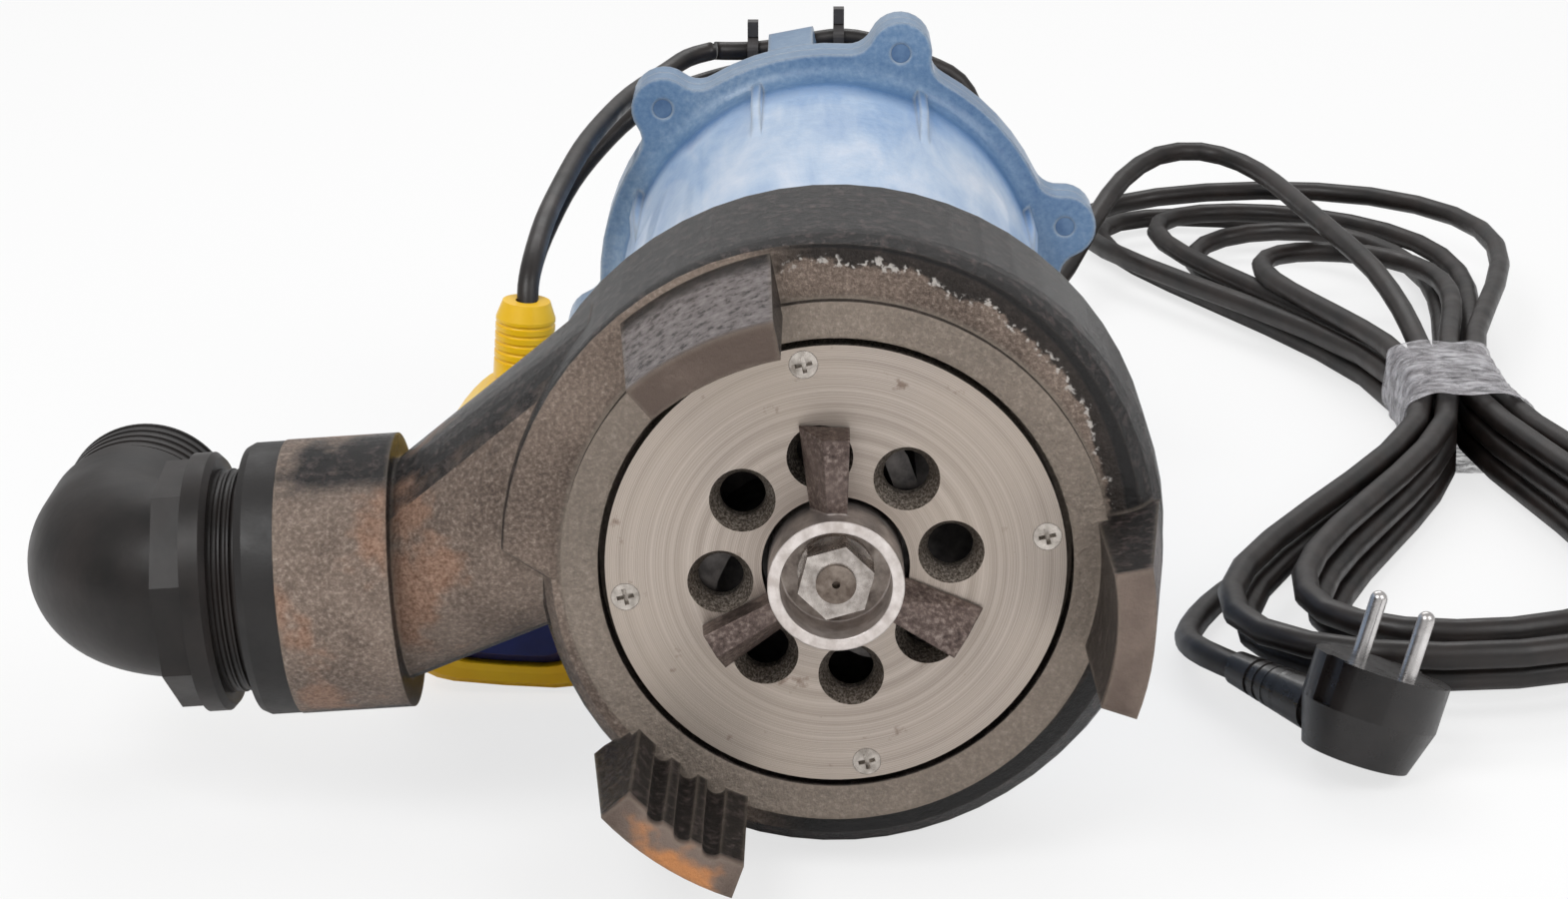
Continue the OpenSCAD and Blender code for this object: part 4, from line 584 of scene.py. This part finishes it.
def elbow_plastic():
    m = Mat("elbow_plastic")
    m.colour(m.ramp(m.noise(45, 5), [(0.3, (17, 14, 13)), (0.7, (40, 34, 32))]))
    m.rough(m.range(m.noise(60), 0.3, 0.7, 0.38, 0.5))
    m.set("Specular IOR Level", 0.36)
    m.bump(m.noise(240, 4, 0.5), 0.14, 0.0006)
    return m.m


def cord_rubber():
    m = Mat("cord_rubber")
    m.colour(m.ramp(m.noise(70, 5), [(0.3, (14, 11, 10)), (0.7, (40, 32, 29))]))
    m.rough(m.range(m.noise(110), 0.3, 0.7, 0.34, 0.5))
    m.bump(m.noise(900, 3), 0.12, 0.0003)
    return m.m


def clear_film():
    m = Mat("clear_film", rough=0.16)
    m.colour(m.ramp(m.noise(120), [(0.35, (176, 172, 176)), (0.65, (226, 224, 228))]))
    fold = m.noise(1.0, 5, 0.6, vector=m.scaled((130, 320, 130)), warp=0.6)
    m.set("Alpha", m.range(fold, 0.38, 0.64, 0.16, 0.72))
    m.bump(fold, 0.7, 0.002)
    return m.m


def metal(name, dark, light, rough=0.32, scale=160, bump=0.15):
    m = Mat(name, metal=0.9)
    m.colour(m.ramp(m.noise(scale, 6, 0.6), [(0.32, dark), (0.68, light)]))
    m.rough(m.range(m.noise(scale * 2.3), 0.3, 0.7, rough - 0.06, rough + 0.14))
    m.bump(m.noise(scale * 5), bump, 0.0003)
    return m.m


def plain(name, dark, light, rough=0.45, scale=60, bump=0.12, fine=900, coat=0.0):
    m = Mat(name)
    m.colour(m.ramp(m.noise(scale, 6, 0.6), [(0.3, dark), (0.7, light)]))
    m.rough(m.range(m.noise(scale * 3), 0.3, 0.7, rough - 0.07, rough + 0.09))
    m.bump(m.noise(fine, 3, 0.5), bump, 0.0003)
    m.set("Coat Weight", coat)
    return m.m


iron = cast_iron()
steel = turned_steel()
blade = cutter_steel()
blue = blue_paint()
elbow = elbow_plastic()
rubber = cord_rubber()
film = clear_film()
bright = metal("zinc_steel", (112, 100, 90), (182, 170, 158))
screw_steel = metal("screw_steel", (136, 128, 120), (216, 208, 200), rough=0.26, scale=240)
nut_steel = metal("nut_steel", (130, 122, 116), (208, 200, 194), rough=0.25, scale=220)
shaft_steel = metal("shaft_steel", (96, 84, 76), (152, 140, 130), rough=0.36, scale=260)
nickel = metal("nickel", (186, 182, 180), (226, 223, 222), rough=0.2, scale=90, bump=0.05)
dark_steel = metal("dark_steel", (52, 50, 50), (96, 92, 90), rough=0.4)
laminate = metal("laminate", (92, 92, 96), (138, 138, 142), rough=0.45, scale=400)
copper = metal("copper_wire", (128, 66, 38), (192, 110, 66), rough=0.36, scale=500, bump=0.5)
alloy = metal("cast_alloy", (150, 150, 152), (196, 196, 198), rough=0.4)
brass = metal("brass", (140, 110, 60), (190, 156, 96), rough=0.35)
yellow = plain("yellow_plastic", (242, 182, 4), (255, 212, 24), rough=0.36, scale=24, bump=0.08,
               fine=500, coat=0.2)
navy = plain("navy_plastic", (14, 22, 74), (30, 44, 112), rough=0.38, scale=24, bump=0.08,
             fine=500, coat=0.15)
black_rubber = plain("black_rubber", (12, 10, 10), (30, 26, 25), rough=0.5, scale=50, bump=0.15)
plug_plastic = plain("plug_plastic", (14, 11, 11), (34, 29, 28), rough=0.3, bump=0.1, fine=700,
                     coat=0.2)
painted_bolt = plain("painted_bolt", (66, 96, 134), (104, 132, 164), rough=0.36, scale=180, bump=0.2)
tie_plastic = plain("tie_plastic", (40, 38, 38), (74, 70, 70), rough=0.4)
ivory = plain("ivory_plastic", (196, 188, 170), (224, 218, 202))
white_shell = plain("white_shell", (206, 204, 200), (230, 228, 224), rough=0.4)
graphite = plain("graphite", (38, 38, 40), (66, 66, 70), rough=0.35)
ceramic = plain("ceramic", (214, 206, 190), (236, 230, 218), rough=0.3)

FINISH = {
    iron: ["pump_casing"],
    blue: ["motor_housing", "top_cover"],
    blade: ["cutter"],
    steel: ["suction_plate"],
    screw_steel: ["plate_screws"],
    bright: ["casing_bolts", "oil_plug"],
    painted_bolt: ["cover_bolts"],
    nut_steel: ["cutter_nut", "cutter_washer", "drive_key"],
    shaft_steel: ["shaft"],
    alloy: ["seal_plate", "bearing_bracket", "rotor_cage", "capacitor_clip"],
    dark_steel: ["impeller"],
    laminate: ["stator_core", "rotor_core"],
    copper: ["stator_winding"],
    brass: ["lower_bearing_balls", "upper_bearing_balls"],
    nickel: ["plug_pins", "lower_bearing_outer", "lower_bearing_inner", "upper_bearing_outer",
             "upper_bearing_inner", "switch_ball", "seal_spring"],
    elbow: ["outlet_elbow"],
    black_rubber: ["outlet_ring", "casing_ring", "cover_ring", "shaft_lip_seal", "mains_gland",
                   "mains_gland_nut", "float_gland_nut"],
    yellow: ["float_back", "float_gland"],
    navy: ["float_front"],
    plug_plastic: ["plug_body", "plug_boot"],
    tie_plastic: ["cable_ties"],
    ivory: ["terminal_block", "ball_race", "switch_plunger"],
    white_shell: ["capacitor"],
    graphite: ["seal_face", "float_microswitch"],
    ceramic: ["seal_seat"],
}


def dress(obj, material):
    """Give the material to every slot of a piece, or to a first slot where it has none."""
    if not len(obj.material_slots):
        obj.data.materials.append(material)
    for slot in obj.material_slots:
        slot.material = material


for material, names in FINISH.items():
    for name in names:
        dress(NODES[name], material)
for cord in (mains, slack, cable):
    dress(cord, rubber)
dress(wrap, film)

# ---------------------------------------------------------------- floor, world and lamps
FLOOR_HALF = 6
FLOOR_Z = -0.4 * MM
FLOOR_GLOW = 0.72        # share of plain white in what the camera sees of the floor
WORLD_LIGHT = 0.5        # strength of the white world as light
WORLD_SEEN = 1.0         # and where the camera looks at it, also through the film


def floor_white():
    m = Mat("floor", rough=0.7)
    m.colour((0.9, 0.9, 0.9, 1))
    to_camera = m.node("ShaderNodeLightPath").outputs["Is Camera Ray"]
    glow = m.node("ShaderNodeEmission").outputs[0]
    blend = m.node("ShaderNodeMixShader", {0: m.mul(to_camera, FLOOR_GLOW), 1: m.b.outputs[0], 2: glow})
    m.put(m.t.nodes["Material Output"].inputs[0], blend.outputs[0])
    return m.m


corners = [(FLOOR_HALF * sx, FLOOR_HALF * sy, 0) for sx, sy in ((-1, -1), (1, -1), (1, 1), (-1, 1))]
floor = link_mesh("floor", corners, [(0, 1, 2, 3)], False)
floor.location.z = FLOOR_Z
dress(floor, floor_white())

world = bpy.data.worlds.new("world")
scene.world = world
world.use_nodes = True
wt = world.node_tree
background = wt.nodes["Background"]
background.inputs["Color"].default_value = (1, 1, 1, 1)
rays = wt.nodes.new("ShaderNodeLightPath")
seen = wt.nodes.new("ShaderNodeMath")
seen.operation = "MAXIMUM"
wt.links.new(rays.outputs["Is Camera Ray"], seen.inputs[0])
wt.links.new(rays.outputs["Is Transmission Ray"], seen.inputs[1])
level = wt.nodes.new("ShaderNodeMapRange")
level.inputs["To Min"].default_value = WORLD_LIGHT
level.inputs["To Max"].default_value = WORLD_SEEN
wt.links.new(seen.outputs[0], level.inputs[0])
wt.links.new(level.outputs[0], background.inputs["Strength"])


def lamp(name, at, towards, size, power):
    data = bpy.data.lights.new(name, "AREA")
    data.shape = "RECTANGLE"
    data.size, data.size_y = size
    data.energy = power
    link_looking(name, data, at, Vector(towards) - Vector(at))


lamp("key", at=(-0.7, -1.1, 1.5), towards=(0.05, 0, 0.05), size=(1.0, 0.8), power=16)
lamp("fill", at=(1.2, -0.9, 1.1), towards=(0.1, 0, 0.05), size=(1.0, 1.0), power=9)
lamp("back", at=(0.1, 1.4, 1.6), towards=(0.1, 0.1, 0.05), size=(1.6, 0.7), power=12)
